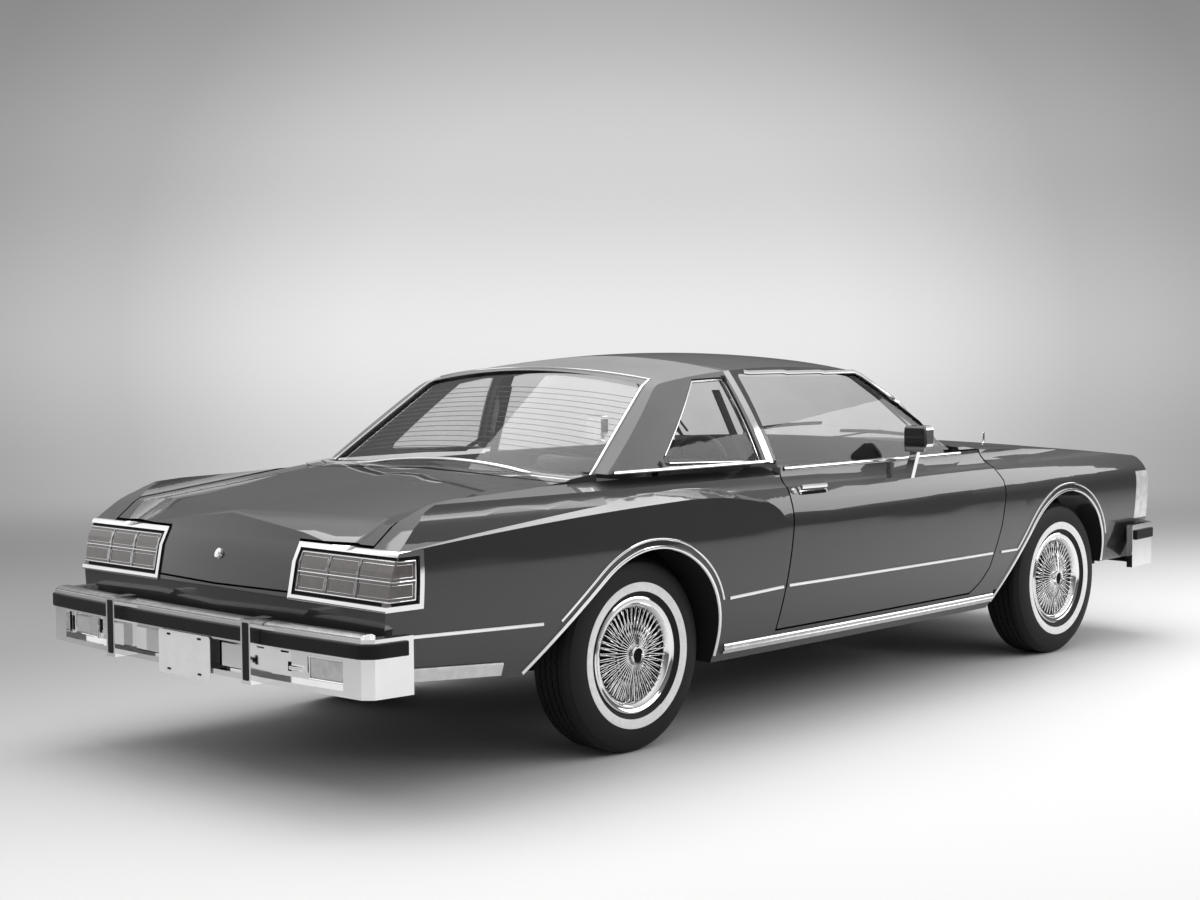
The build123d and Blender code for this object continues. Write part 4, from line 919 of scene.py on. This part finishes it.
def door_handle(word, side):
    door = "door_" + word
    shape = bmesh.new()
    trim(shape, flat_bar(0.034, 0.004, 0.002), side_run([door], side, PLATE_LINE))
    trim(shape, flat_bar(0.020, 0.022, 0.006), side_run([door], side, BAR_LINE))
    spot, facing = beside([door], side, LOCK_X, HANDLE_Z)
    rod(shape, spot - facing * 0.003, spot + facing * 0.005, 0.0135, 0.0125, 24)
    rod(shape, spot + facing * 0.004, spot + facing * 0.007, 0.0080, 0.0075, 24)
    finish_piece("door_handle_" + word, shape, [chrome], door)
    # the finger recess is painted shade: a matte black strip under the bar in place of a shadowed hollow
    trim_piece("handle_recess_painted_shade_" + word,
               [(flat_bar(0.011, 0.0055, 0.001), side_run([door], side, RECESS_LINE))],
               matte_black, door)


print("the left lock goes at", [round(v, 3) for v in beside(["door_left"], 1, LOCK_X, HANDLE_Z)[0]])

# %% [markdown]
# ## Mirror glasses
# The mirror's head is a CAD piece, so only its pane is added. It is a rounded box as thin as the glass, a
# hair proud of the head's rear face, and it takes its place from the head's own box.

# %% Mirror glasses, with the handles of each side
MIRROR_RIM, MIRROR_TALL = 0.010, 0.108
for word, side in SIDES:
    door_handle(word, side)
    low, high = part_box("mirror_" + word)
    shape = bmesh.new()
    rounded_box(shape, (low.x - 0.0008, low.y + MIRROR_RIM, high.z - MIRROR_TALL),
                (low.x + 0.003, high.y - MIRROR_RIM, high.z - MIRROR_RIM), 0, 0.010)
    finish_piece("mirror_glass_" + word, shape, [mirror_face], "door_" + word)
print("handles and mirrors done")

# %% [markdown]
# ## Lid lock, hood ornament and hood moulding
# The trunk lock is a bright ring on the lid. The hood ornament is a plain upright blade on a foot, with no
# sign on it, and a fine moulding runs back from it over the crest of the hood. They could be turned on a
# spin, but short tapered rods and a thin box with eased edges give the same shapes at this size.

# %% Small bright pieces
LID_LOCK_Z = 0.755
ORNAMENT_X = 2.350
shape = bmesh.new()
spot, facing = behind(["trunk_lid"], 0, LID_LOCK_Z)
rod(shape, spot - facing * 0.004, spot + facing * 0.006, 0.0185, 0.0170, 32)
rod(shape, spot + facing * 0.005, spot + facing * 0.009, 0.0120, 0.0100, 32)
finish_piece("trunk_lock", shape, [chrome], "trunk_lid")

shape = bmesh.new()
foot, facing = above(["hood", "front_header"], ORNAMENT_X, 0)
rod(shape, foot - facing * 0.004, foot + facing * 0.010, 0.022, 0.014, 32)
blade = boxed(shape, (foot.x - 0.008, -0.0022, foot.z + 0.008), (foot.x + 0.008, 0.0022, foot.z + 0.062))
eased(shape, {edge for vert in blade for edge in vert.link_edges}, 0.001, 2)
finish_piece("hood_ornament", shape, [chrome], "hood")

trim_piece("hood_moulding",
           [(half_round(0.010, 0.004), [above(["hood"], x, 0) for x in steps(1.050, 2.300, 0.06)])],
           chrome, "hood")
print("lock, ornament and hood moulding done")

# %% [markdown]
# ## Wipers
# Two wipers lie at the foot of the windshield. A blade that is drawn straight would cut into the curved
# glass, so each one is swept along touches of it, a little lifted, and an arm joins it to its pivot.

# %% Wipers
PIVOT_X = 0.905
shape = bmesh.new()
for pivot_y, reach in ((0.42, -0.52), (-0.12, -0.50)):
    line = [(0.865 - 0.06 * t, pivot_y + reach * t, 1.02 + 0.035 * t) for t in steps(0.10, 1.0, 0.1)]
    blade = [spot for spot in lifted_run(line, FRONT_SLOPE, ["windshield"]) if spot]
    if len(blade) > 1:
        trim(shape, flat_bar(0.006, 0.012, 0.001), blade, 0.003)
        elbow = blade[len(blade) // 2][0] + Vector((0.012, 0, 0.014))
        rod(shape, (PIVOT_X, pivot_y, 1.012), elbow, 0.004)
        rod(shape, (PIVOT_X, pivot_y, 0.995), (PIVOT_X, pivot_y, 1.018), 0.012, 0.010, 20)
finish_piece("wipers", shape, [dark_plastic], "body")
print("wipers done")

# %% [markdown]
# ## Grille and headlamp rims
# The upright bars of the grille are CAD. A real egg-crate would be a lattice, but thin level bars behind the
# uprights make the same squares. Each square headlamp and the grille have a rim of four rounded bars, and one
# helper lays any such rim.

# %% Grille crossbars and rims
LAMP_X, LAMP_Z, LAMP_HALF_Y, LAMP_HALF_Z = 2.468, 0.720, 0.104, 0.069
grille_low, grille_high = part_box("grille")
shape = bmesh.new()
for z in steps(grille_low.z + 0.03, grille_high.z - 0.03, 0.031):
    rounded_box(shape, (grille_high.x - 0.020, grille_low.y + 0.004, z - 0.0012),
                (grille_high.x - 0.004, grille_high.y - 0.004, z + 0.0012), 1, 0.0008, 2)
finish_piece("grille_crossbars", shape, [chrome], "body")


def upright_bars(shape, front, thick, rim):
    """Rounded bars that face forward, each given by its lower and upper (y, z) corners."""
    for low, high in rim:
        rounded_box(shape, (front - thick, *low), (front, *high), 0, 0.003, 2)


shape = bmesh.new()
upright_bars(shape, grille_high.x + 0.006, 0.03, (
    ((grille_low.y - 0.014, grille_low.z - 0.012), (grille_high.y + 0.014, grille_low.z + 0.004)),
    ((grille_low.y - 0.014, grille_high.z - 0.004), (grille_high.y + 0.014, grille_high.z + 0.012)),
    ((grille_low.y - 0.014, grille_low.z), (grille_low.y + 0.002, grille_high.z)),
    ((grille_high.y - 0.002, grille_low.z), (grille_high.y + 0.014, grille_high.z))))
for middle in (-0.578, -0.342, 0.342, 0.578):
    low_y, high_y = middle - LAMP_HALF_Y, middle + LAMP_HALF_Y
    low_z, high_z = LAMP_Z - LAMP_HALF_Z, LAMP_Z + LAMP_HALF_Z
    upright_bars(shape, LAMP_X, 0.010, (
        ((low_y, low_z), (high_y, low_z + 0.010)), ((low_y, high_z - 0.010), (high_y, high_z)),
        ((low_y, low_z), (low_y + 0.010, high_z)), ((high_y - 0.010, low_z), (high_y, high_z))))
finish_piece("front_face_rims", shape, [chrome], "body")
print("grille and lamps rimmed")

# %% [markdown]
# ## Front bumper rubber
# The front bumper has the same rubber strip as the rear one, and a pad on each of its guards. It is drawn by
# the same tools, from rays that come from ahead of the car.

# %% Front strip and guard pads
FRONT = ["front_bumper"]
FRONT_STRIP_Z, FRONT_GUARD_Y = 0.505, 0.380
bumper_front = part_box("front_bumper")[1].x
shape = bmesh.new()
trim(shape, STRIP, [ahead_of(FRONT, y, FRONT_STRIP_Z) for y in steps(-0.350, 0.350, 0.05)])
for _, side in SIDES[::-1]:
    run = [ahead_of(FRONT, side * y, FRONT_STRIP_Z) for y in (*steps(0.410, 0.820, 0.05), 0.845, 0.880)]
    run += [beside(FRONT, side, x, FRONT_STRIP_Z) for x in steps(2.430, 2.240, 0.05)]
    trim(shape, STRIP, run)
    guard_pad(shape, bumper_front - 0.006, bumper_front + 0.0008, side * FRONT_GUARD_Y, 0.570)
finish_piece("front_bumper_rubber", shape, [rubber], "body")
print("front face dressed")

# %% [markdown]
# ## Soft shading on the pressed panels
# The CAD panels arrive as loose flat triangles, so a gentle crown shows as facets. Their meshes must stay as
# they are, but a modifier may join the triangles as it shows them. Geometry nodes do it here: they merge the
# corners, smooth every face, and keep each edge over a small angle sharp. A weighted normal then keeps the
# large faces calm.

# %% Smooth the CAD nodes
FOLD = math.radians(24)
soft = bpy.data.node_groups.new("soft_shading", "GeometryNodeTree")
soft.interface.new_socket("Geometry", in_out="INPUT", socket_type="NodeSocketGeometry")
soft.interface.new_socket("Geometry", in_out="OUTPUT", socket_type="NodeSocketGeometry")
start_node = soft.nodes.new("NodeGroupInput")
merge = soft.nodes.new("GeometryNodeMergeByDistance")
merge.inputs["Distance"].default_value = 0.00003
smooth_faces = soft.nodes.new("GeometryNodeSetShadeSmooth")
edge_angle = soft.nodes.new("GeometryNodeInputMeshEdgeAngle")
is_fold = soft.nodes.new("FunctionNodeCompare")
is_fold.operation = "GREATER_THAN"
is_fold.inputs["B"].default_value = FOLD
sharp_edges = soft.nodes.new("GeometryNodeSetShadeSmooth")
sharp_edges.domain = "EDGE"
sharp_edges.inputs["Shade Smooth"].default_value = False
end_node = soft.nodes.new("NodeGroupOutput")
soft.links.new(start_node.outputs["Geometry"], merge.inputs["Geometry"])
soft.links.new(merge.outputs["Geometry"], smooth_faces.inputs["Geometry"])
soft.links.new(smooth_faces.outputs["Geometry"], sharp_edges.inputs["Geometry"])
soft.links.new(edge_angle.outputs["Unsigned Angle"], is_fold.inputs["A"])
soft.links.new(is_fold.outputs["Result"], sharp_edges.inputs["Selection"])
soft.links.new(sharp_edges.outputs["Geometry"], end_node.inputs["Geometry"])
for name, node in nodes.items():
    node.modifiers.new("soft_shading", "NODES").node_group = soft
    weights = node.modifiers.new("calm_faces", "WEIGHTED_NORMAL")
    weights.keep_sharp = True
print("smooth shading on", len(nodes), "nodes")

# %% [markdown]
# ## Seats
# Each seat is a stuffed cushion and a stuffed back in pleated vinyl. Moving points outward by a formula would
# give a crown, but pressure gives the corners their puckered look for free. So a cushion is modelled as its
# block of foam, cut up evenly by a voxel remesh, and blown out a little by the cloth solver, so that its
# faces crown and its sides pull in between the corners. The pleats come last, or the remesh would eat them.

# %% How a cushion is stuffed
VOXEL = 0.008
PRESSURE, PRESSURE_FRAMES = 4.0, 20
MOST_SWELL = 0.016
PLEAT_DEPTH, PLEAT_WIDTH = 0.010, 0.008


def settle(piece):
    """Keeps what the modifiers show as the mesh itself."""
    shown = bpy.data.meshes.new_from_object(piece.evaluated_get(bpy.context.evaluated_depsgraph_get()))
    piece.modifiers.clear()
    piece.data = shown


def blow_out(piece):
    """Swells a piece by cloth pressure, with no point moved further than MOST_SWELL."""
    before = [vert.co.copy() for vert in piece.data.vertices]
    cloth = piece.modifiers.new("stuffing", "CLOTH")
    cloth.settings.use_pressure = True
    cloth.settings.uniform_pressure_force = PRESSURE
    cloth.settings.effector_weights.gravity = 0.0
    cloth.point_cache.frame_start = 1
    cloth.point_cache.frame_end = PRESSURE_FRAMES
    for number in range(1, PRESSURE_FRAMES + 1):
        scene.frame_set(number)
    settle(piece)
    for vert, place in zip(piece.data.vertices, before):
        move = vert.co - place
        if move.length > MOST_SWELL:
            vert.co = place + move.normalized() * MOST_SWELL
    scene.frame_set(1)


def stuffed(name, shape, node, pleats, face):
    mesh = bpy.data.meshes.new(name)
    bmesh.ops.recalc_face_normals(shape, faces=shape.faces)
    shape.to_mesh(mesh)
    shape.free()
    mesh.materials.append(seat_vinyl)
    piece = bpy.data.objects.new(name, mesh)
    scene.collection.objects.link(piece)
    even = piece.modifiers.new("even_mesh", "REMESH")
    even.mode = "VOXEL"
    even.voxel_size = VOXEL
    settle(piece)
    blow_out(piece)
    face = Vector(face).normalized()
    for vert in piece.data.vertices:
        if vert.normal.dot(face) > 0.45:
            near = min(abs(vert.co.y - pleat) for pleat in pleats)
            vert.co -= face * PLEAT_DEPTH * math.exp(-((near / PLEAT_WIDTH) ** 2))
    for polygon in piece.data.polygons:
        polygon.use_smooth = True
    rounder = piece.modifiers.new("rounder", "SUBSURF")
    rounder.levels = rounder.render_levels = 1
    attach(piece, "body")
    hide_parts(node)
    return piece


def foam(low, high, lean=0.0, round_off=0.045):
    """A block of foam with eased edges; lean moves its top backwards."""
    shape = bmesh.new()
    boxed(shape, low, high)
    eased(shape, shape.edges, round_off, 3)
    tall = high[2] - low[2]
    for vert in shape.verts:
        vert.co.x -= lean * (vert.co.z - low[2]) / tall
    return shape


print("seats are remeshed at", VOXEL, "m")

# %% [markdown]
# ## The six pads
# Each front seat has a cushion and a leaning back, and the rear bench has one wide one of each. The foam
# blocks stay a little inside the CAD seats, because the pressure swells them to size.

# %% Stuffed cushions
FORWARD = (1, 0, 0.3)
FRONT_PLEAT, REAR_PLEAT = 0.072, 0.084
SEAT_MIDDLE = 0.365
pads = []
for word, side in SIDES:
    near_y, far_y = sorted((side * 0.056, side * 0.674))
    pleats = [side * (SEAT_MIDDLE + FRONT_PLEAT * (i - 3.5)) for i in range(8)]
    for label, block, face in (
            ("seat_cushion_", foam((-0.150, near_y, 0.345), (0.315, far_y, 0.515)), UP),
            ("seat_back_", foam((-0.175, near_y, 0.500), (-0.045, far_y, 0.968), 0.135), FORWARD)):
        pads.append(stuffed(label + word, block, "front_seat_" + word, pleats, face))
rear_pleats = [REAR_PLEAT * i for i in range(-6, 7)]
pads.append(stuffed("rear_cushion", foam((-0.920, -0.570, 0.385), (-0.520, 0.570, 0.540)), "rear_seat",
                    rear_pleats, UP))
pads.append(stuffed("rear_seat_back", foam((-1.035, -0.570, 0.550), (-0.955, 0.570, 0.935), 0.060, 0.034),
                    "rear_seat", rear_pleats, FORWARD))
print("seats stuffed:", len(pads), "pads")

# %% [markdown]
# ## Door trims and belts
# Through the glass one sees the inside of the doors and the belts. A door trim is a padded card with an
# armrest, a bright strip and a window winder, and it rides on its door. A belt is a flat strap, which a
# cloth solver would only crumple, so it is swept along three points, from beside the seat up to the roof.

# %% Doors and belts
# depths inward from the door's inner face
DOOR_FACE, CARD, BRIGHT_STRIP, ARMREST = 0.0, 0.010, 0.016, 0.052
STRAP_SECTION = [(-0.023, -0.0007), (-0.023, 0.0007), (0.023, 0.0007), (0.023, -0.0007)]


def door_card(shape, side, inner, x, depths, z, radius):
    """A rounded panel between two depths inward from a door's inner face."""
    low_y, high_y = sorted(side * (inner - depth) for depth in depths)
    rounded_box(shape, (x[0], low_y, z[0]), (x[1], high_y, z[1]), 1, radius)


def door_rod(shape, side, inner, start, end, *sizes):
    """A bar between two (x, depth, z) places on a door."""
    rod(shape, *((x, side * (inner - depth), z) for x, depth, z in (start, end)), *sizes)


for word, side in SIDES:
    door = "door_" + word
    inner = min(abs(corner.y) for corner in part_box(door))
    shape = bmesh.new()
    door_card(shape, side, inner, (-0.380, 0.640), (DOOR_FACE, CARD), (0.440, 0.900), 0.030)
    door_card(shape, side, inner, (-0.240, 0.260), (CARD, ARMREST), (0.640, 0.690), 0.020)
    finish_piece("door_trim_" + word, shape, [seat_vinyl], door)
    shape = bmesh.new()
    door_card(shape, side, inner, (-0.340, 0.600), (CARD, BRIGHT_STRIP), (0.760, 0.776), 0.005)
    door_rod(shape, side, inner, (0.360, 0.004, 0.640), (0.360, 0.030, 0.640), 0.014, 0.012, 20)
    door_rod(shape, side, inner, (0.360, 0.026, 0.640), (0.290, 0.030, 0.600), 0.006)
    door_rod(shape, side, inner, (0.290, 0.026, 0.600), (0.290, 0.050, 0.600), 0.011, 0.010, 16)
    finish_piece("door_trim_bright_" + word, shape, [chrome], door)
    shape = bmesh.new()
    strap_line = [(-0.440, side * 0.725, 0.520), (-0.470, side * 0.715, 0.980), (-0.500, side * 0.585, 1.270)]
    sweep(shape, STRAP_SECTION, [Matrix.Translation(spot) for spot in strap_line])
    finish_piece("belt_strap_" + word, shape, [rubber], "body")
print("doors trimmed and belts hung")

# %% [markdown]
# ## Dashboard
# The padded dash is CAD. Its face gets an instrument panel, vents and a glovebox lid as shallow rounded
# panels, with instrument rings and vent bars on them. They could be cut in, but nobody looks at them closer
# than through a window.

# %% Dash panels and brightwork
face_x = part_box("dashboard")[0].x
CENTRE_VENTS, BAR_HALF = (-0.130, 0.080), 0.0012
INSTRUMENTS = ((0.245, 0.036), (0.335, 0.042), (0.430, 0.042), (0.515, 0.030))
INSTRUMENT_Z = 0.804
shape = bmesh.new()
rounded_box(shape, (face_x - 0.010, 0.180, 0.752), (face_x + 0.020, 0.560, 0.856), 0, 0.014)
for y in (-0.640, *CENTRE_VENTS, 0.640):
    rounded_box(shape, (face_x - 0.006, y - 0.060, 0.800), (face_x + 0.020, y + 0.060, 0.850), 0, 0.006)
rounded_box(shape, (face_x - 0.004, -0.560, 0.752), (face_x + 0.022, -0.220, 0.790), 0, 0.006)
finish_piece("dash_panels", shape, [dark_plastic], "body")
shape = bmesh.new()
for y, radius in INSTRUMENTS:
    rod(shape, (face_x - 0.009, y, INSTRUMENT_Z), (face_x - 0.014, y, INSTRUMENT_Z), radius,
        radius - 0.002, 40)
for y in CENTRE_VENTS:
    for z in steps(0.810, 0.842, 0.008):
        rounded_box(shape, (face_x - 0.010, y - 0.054, z - BAR_HALF),
                    (face_x - 0.004, y + 0.054, z + BAR_HALF), 1, 0.001, 2)
finish_piece("dash_brightwork", shape, [satin_chrome], "body")
print("dash with", len(INSTRUMENTS), "instruments")

# %% [markdown]
# ## Heater wires
# The rear window has fine level wires on its inner face. They could be a stripe in the glass's material, but
# they are real strips of paste with a thickness, so each is a hair-thin section swept just under the pane.

# %% Rear window heater
WIRE_SECTION = [(-0.0008, -0.0062), (-0.0008, -0.0045), (0.0008, -0.0045), (0.0008, -0.0062)]
wires = []
for t in steps(0.14, 0.90, 0.063):
    half = 0.585 + 0.115 * t
    line = [(-0.925 - 0.415 * t, y, 1.300 - 0.290 * t) for y in steps(-half, half, 0.09)]
    wires.append((WIRE_SECTION, lifted_run(line, REAR_SLOPE, ["rear_window"])))
trim_piece("heater_wires", wires, casting, "body")
print("heater of", len(wires), "wires")

# %% [markdown]
# ## Fuel tank
# The tank is two steel pressings welded at a flange: a flat-topped pan whose floor is narrower than its rim,
# and two straps that hold it up. A lofted shell would do, but a box whose floor is scaled in, with its edges
# bevelled as the press would round them, is the same shape in three steps.

# %% Tank pressing
FLOOR_NARROWS, FLOOR_SHORTENS = 0.72, 0.62
low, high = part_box("fuel_tank")
middle = (low + high) / 2
shape = bmesh.new()
pan = boxed(shape, low + Vector((0.012, 0.012, 0)), high - Vector((0.012, 0.012, 0.004)))
for vert in pan:
    if vert.co.z < middle.z:
        vert.co.y = middle.y + (vert.co.y - middle.y) * FLOOR_NARROWS
        vert.co.x = high.x - 0.05 + (vert.co.x - high.x + 0.05) * FLOOR_SHORTENS
eased(shape, shape.edges, 0.035, 4)
rounded_box(shape, (low.x, low.y, high.z - 0.030), (high.x, high.y, high.z - 0.024), 2, 0.040)
for y in (-0.22, 0.22):
    strap = [(low.x + 0.01, y, high.z - 0.02), (low.x + 0.05, y, middle.z), (high.x - 0.06, y, low.z + 0.002)]
    for start, end in zip(strap, strap[1:]):
        rod(shape, start, end, 0.006)
tank = finish_piece("fuel_tank_pressing", shape, [undercoat], "body")
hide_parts("fuel_tank")
print("tank pressed")

# %% [markdown]
# ## Studio floor
# The floor is a pale sheet that fades out far from the car, so there is no horizon. A backdrop that curves up
# would catch the lights. A disc that turns clear with distance doesn't, and it still takes the car's shadow.
# Towards the car's left its colour is painted a darker grey: painted shade, as a sheet shows that is lit from
# one side.

# %% Floor
FADE_START, FADE_END = 4.5, 11.0
floor_mesh = bpy.data.meshes.new("studio_floor")
shape = bmesh.new()
bmesh.ops.create_circle(shape, cap_ends=True, radius=40, segments=96)
shape.to_mesh(floor_mesh)
shape.free()
floor = bpy.data.objects.new("studio_floor", floor_mesh)
scene.collection.objects.link(floor)
floor_paint = finish_material("floor_paint", grey(0.62), grey(0.64), 0.60, scale=0.8, shine=0.1)
tree = floor_paint.node_tree
shader = tree.nodes["Principled BSDF"]
place = tree.nodes.new("ShaderNodeTexCoord")
axes = tree.nodes.new("ShaderNodeSeparateXYZ")
tree.links.new(place.outputs["Object"], axes.inputs["Vector"])
across = tree.nodes.new("ShaderNodeMapRange")
across.inputs["From Min"].default_value = -2.0
across.inputs["From Max"].default_value = 3.2
tree.links.new(axes.outputs["Y"], across.inputs["Value"])
# painted shade: the floor's colour darkens towards the car's left, in place of the falloff of a sheet lit
# from one side
painted_falloff_ramp = add_ramp(tree, across.outputs["Result"], grey(0.70), grey(0.26), 0.0, 1.0)
painted_falloff_ramp.color_ramp.interpolation = "EASE"
tree.links.new(painted_falloff_ramp.outputs["Color"], shader.inputs["Base Color"])
reach = tree.nodes.new("ShaderNodeVectorMath")
reach.operation = "LENGTH"
tree.links.new(place.outputs["Object"], reach.inputs[0])
fade = tree.nodes.new("ShaderNodeMapRange")
fade.interpolation_type = "SMOOTHSTEP"
fade.inputs["From Min"].default_value = FADE_START
fade.inputs["From Max"].default_value = FADE_END
tree.links.new(reach.outputs["Value"], fade.inputs["Value"])
see_through = tree.nodes.new("ShaderNodeBsdfTransparent")
mix = tree.nodes.new("ShaderNodeMixShader")
tree.links.new(fade.outputs["Result"], mix.inputs["Fac"])
tree.links.new(shader.outputs["BSDF"], mix.inputs[1])
tree.links.new(see_through.outputs["BSDF"], mix.inputs[2])
tree.links.new(mix.outputs["Shader"], tree.nodes["Material Output"].inputs["Surface"])
floor_mesh.materials.append(floor_paint)
floor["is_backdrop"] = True
print("floor fades out past", FADE_END, "m")

# %% [markdown]
# ## Lights
# Chrome and dark paint show the lamps more than they show their own colour. Small lamps would leave hard
# dots, so the car stands under one broad ceiling lamp, with a long card ahead of its right side and a weak
# one off the left of its tail. Their edges are the long highlights that give the panels their shape.

# %% Area lights


def area_light(name, place, target, size_x, size_y, power):
    light = bpy.data.lights.new(name, "AREA")
    light.shape = "RECTANGLE"
    light.size = size_x
    light.size_y = size_y
    light.energy = power
    lamp = bpy.data.objects.new(name, light)
    lamp.location = place
    direction = Vector(target) - Vector(place)
    lamp.rotation_euler = direction.to_track_quat("-Z", "Y").to_euler()
    scene.collection.objects.link(lamp)
    return lamp


area_light("overhead", (0.3, 1.2, 5.4), (0, 0, 0), 9.0, 4.5, 380)
area_light("side_card", (5.6, -6.4, 3.7), (0, -0.9, 0.8), 9.0, 3.0, 300)
area_light("tail_card", (-6.6, 5.6, 2.4), (-2.4, 0, 0.7), 8.0, 4.0, 90)
print("lights:", len(bpy.data.lights))

# %% [markdown]
# ## Studio air
# Behind the floor the air is a soft gradient, brightest low down behind the car. One plain world colour would
# light the metal flat. The camera sees one pair of ramps, and metal and paint see a darker room with a bright
# ceiling, which is what gives them their shape. Both read only the direction of the view.

# %% World
world = bpy.data.worlds.new("studio_air")
world.use_nodes = True
tree = world.node_tree
place = tree.nodes.new("ShaderNodeTexCoord")


def air_ramp(direction, stops):
    """A grey that changes with how far a view leans towards a direction."""
    lean = tree.nodes.new("ShaderNodeVectorMath")
    lean.operation = "DOT_PRODUCT"
    lean.inputs[1].default_value = direction
    tree.links.new(place.outputs["Generated"], lean.inputs[0])
    spread = tree.nodes.new("ShaderNodeMapRange")
    spread.inputs["From Min"].default_value = -1.0
    tree.links.new(lean.outputs["Value"], spread.inputs["Value"])
    ramp = tree.nodes.new("ShaderNodeValToRGB")
    ramp.color_ramp.interpolation = "EASE"
    while len(ramp.color_ramp.elements) < len(stops):
        ramp.color_ramp.elements.new(0.5)
    for element, (position, value) in zip(ramp.color_ramp.elements, stops):
        element.position = (position + 1) / 2
        element.color = (*grey(value), 1)
    tree.links.new(spread.outputs["Result"], ramp.inputs["Fac"])
    return ramp


def air_mix(kind, factor, first, second):
    mix = tree.nodes.new("ShaderNodeMix")
    mix.data_type = "RGBA"
    mix.blend_type = kind
    if isinstance(factor, float):
        mix.inputs["Factor"].default_value = factor
    else:
        tree.links.new(factor, mix.inputs["Factor"])
    tree.links.new(first, mix.inputs["A"])
    tree.links.new(second, mix.inputs["B"])
    return mix.outputs["Result"]


BEYOND = (0.722, 0.692, 0)
height = air_ramp(UP, [(-0.14, 0.42), (-0.07, 0.70), (0.00, 0.84), (0.09, 0.66), (0.19, 0.48), (0.5, 0.40)])
depth = air_ramp(BEYOND, [(-1.0, 0.75), (0.60, 0.55), (0.945, 0.52), (0.962, 0.62), (0.997, 1.0)])
backdrop = air_mix("MULTIPLY", 1.0, height.outputs["Color"], depth.outputs["Color"])
room_height = air_ramp(UP, [(-0.30, 0.10), (0.00, 0.12), (0.25, 0.20), (0.60, 0.75), (0.95, 1.1)])
rays = tree.nodes.new("ShaderNodeLightPath")
seen = air_mix("MIX", rays.outputs["Is Camera Ray"], room_height.outputs["Color"], backdrop)
tree.links.new(seen, tree.nodes["Background"].inputs["Color"])
tree.nodes["Background"].inputs["Strength"].default_value = 1.0
scene.world = world
scene.view_settings.view_transform = "Standard"
print("studio air set")

# %% [markdown]
# ## Camera
# The car is seen from behind its right rear quarter, from a little above the height of its roof, with a
# slightly long lens. A tracking constraint could aim the camera, but it would hide the angles. Yaw, pitch and
# a slight roll give its three axes directly, and the matrix is set once.

# %% Camera
CAMERA_PLACE = (-6.078, -5.307, 1.470)
YAW, PITCH, ROLL = math.radians(43.785), math.radians(-3.385), math.radians(-0.384)
camera_data = bpy.data.cameras.new("camera")
camera_data.lens = 56.2
camera_data.sensor_width = 36
camera = bpy.data.objects.new("camera", camera_data)
scene.collection.objects.link(camera)
scene.camera = camera
ahead = Vector((math.cos(PITCH) * math.cos(YAW), math.cos(PITCH) * math.sin(YAW), math.sin(PITCH)))
level_right = Vector((math.sin(YAW), -math.cos(YAW), 0))
level_up = level_right.cross(ahead)
right = math.cos(ROLL) * level_right + math.sin(ROLL) * level_up
turn = Matrix((right, right.cross(ahead), -ahead)).transposed()
camera.matrix_world = Matrix.Translation(CAMERA_PLACE) @ turn.to_4x4()
print("camera at", [round(v, 3) for v in camera.location])

# %% [markdown]
# ## Sizes
# The trims must not make the car bigger than its CAD model. The last line measures the box round every piece
# that is shown.

# %% Sizes and finish
low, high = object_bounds()
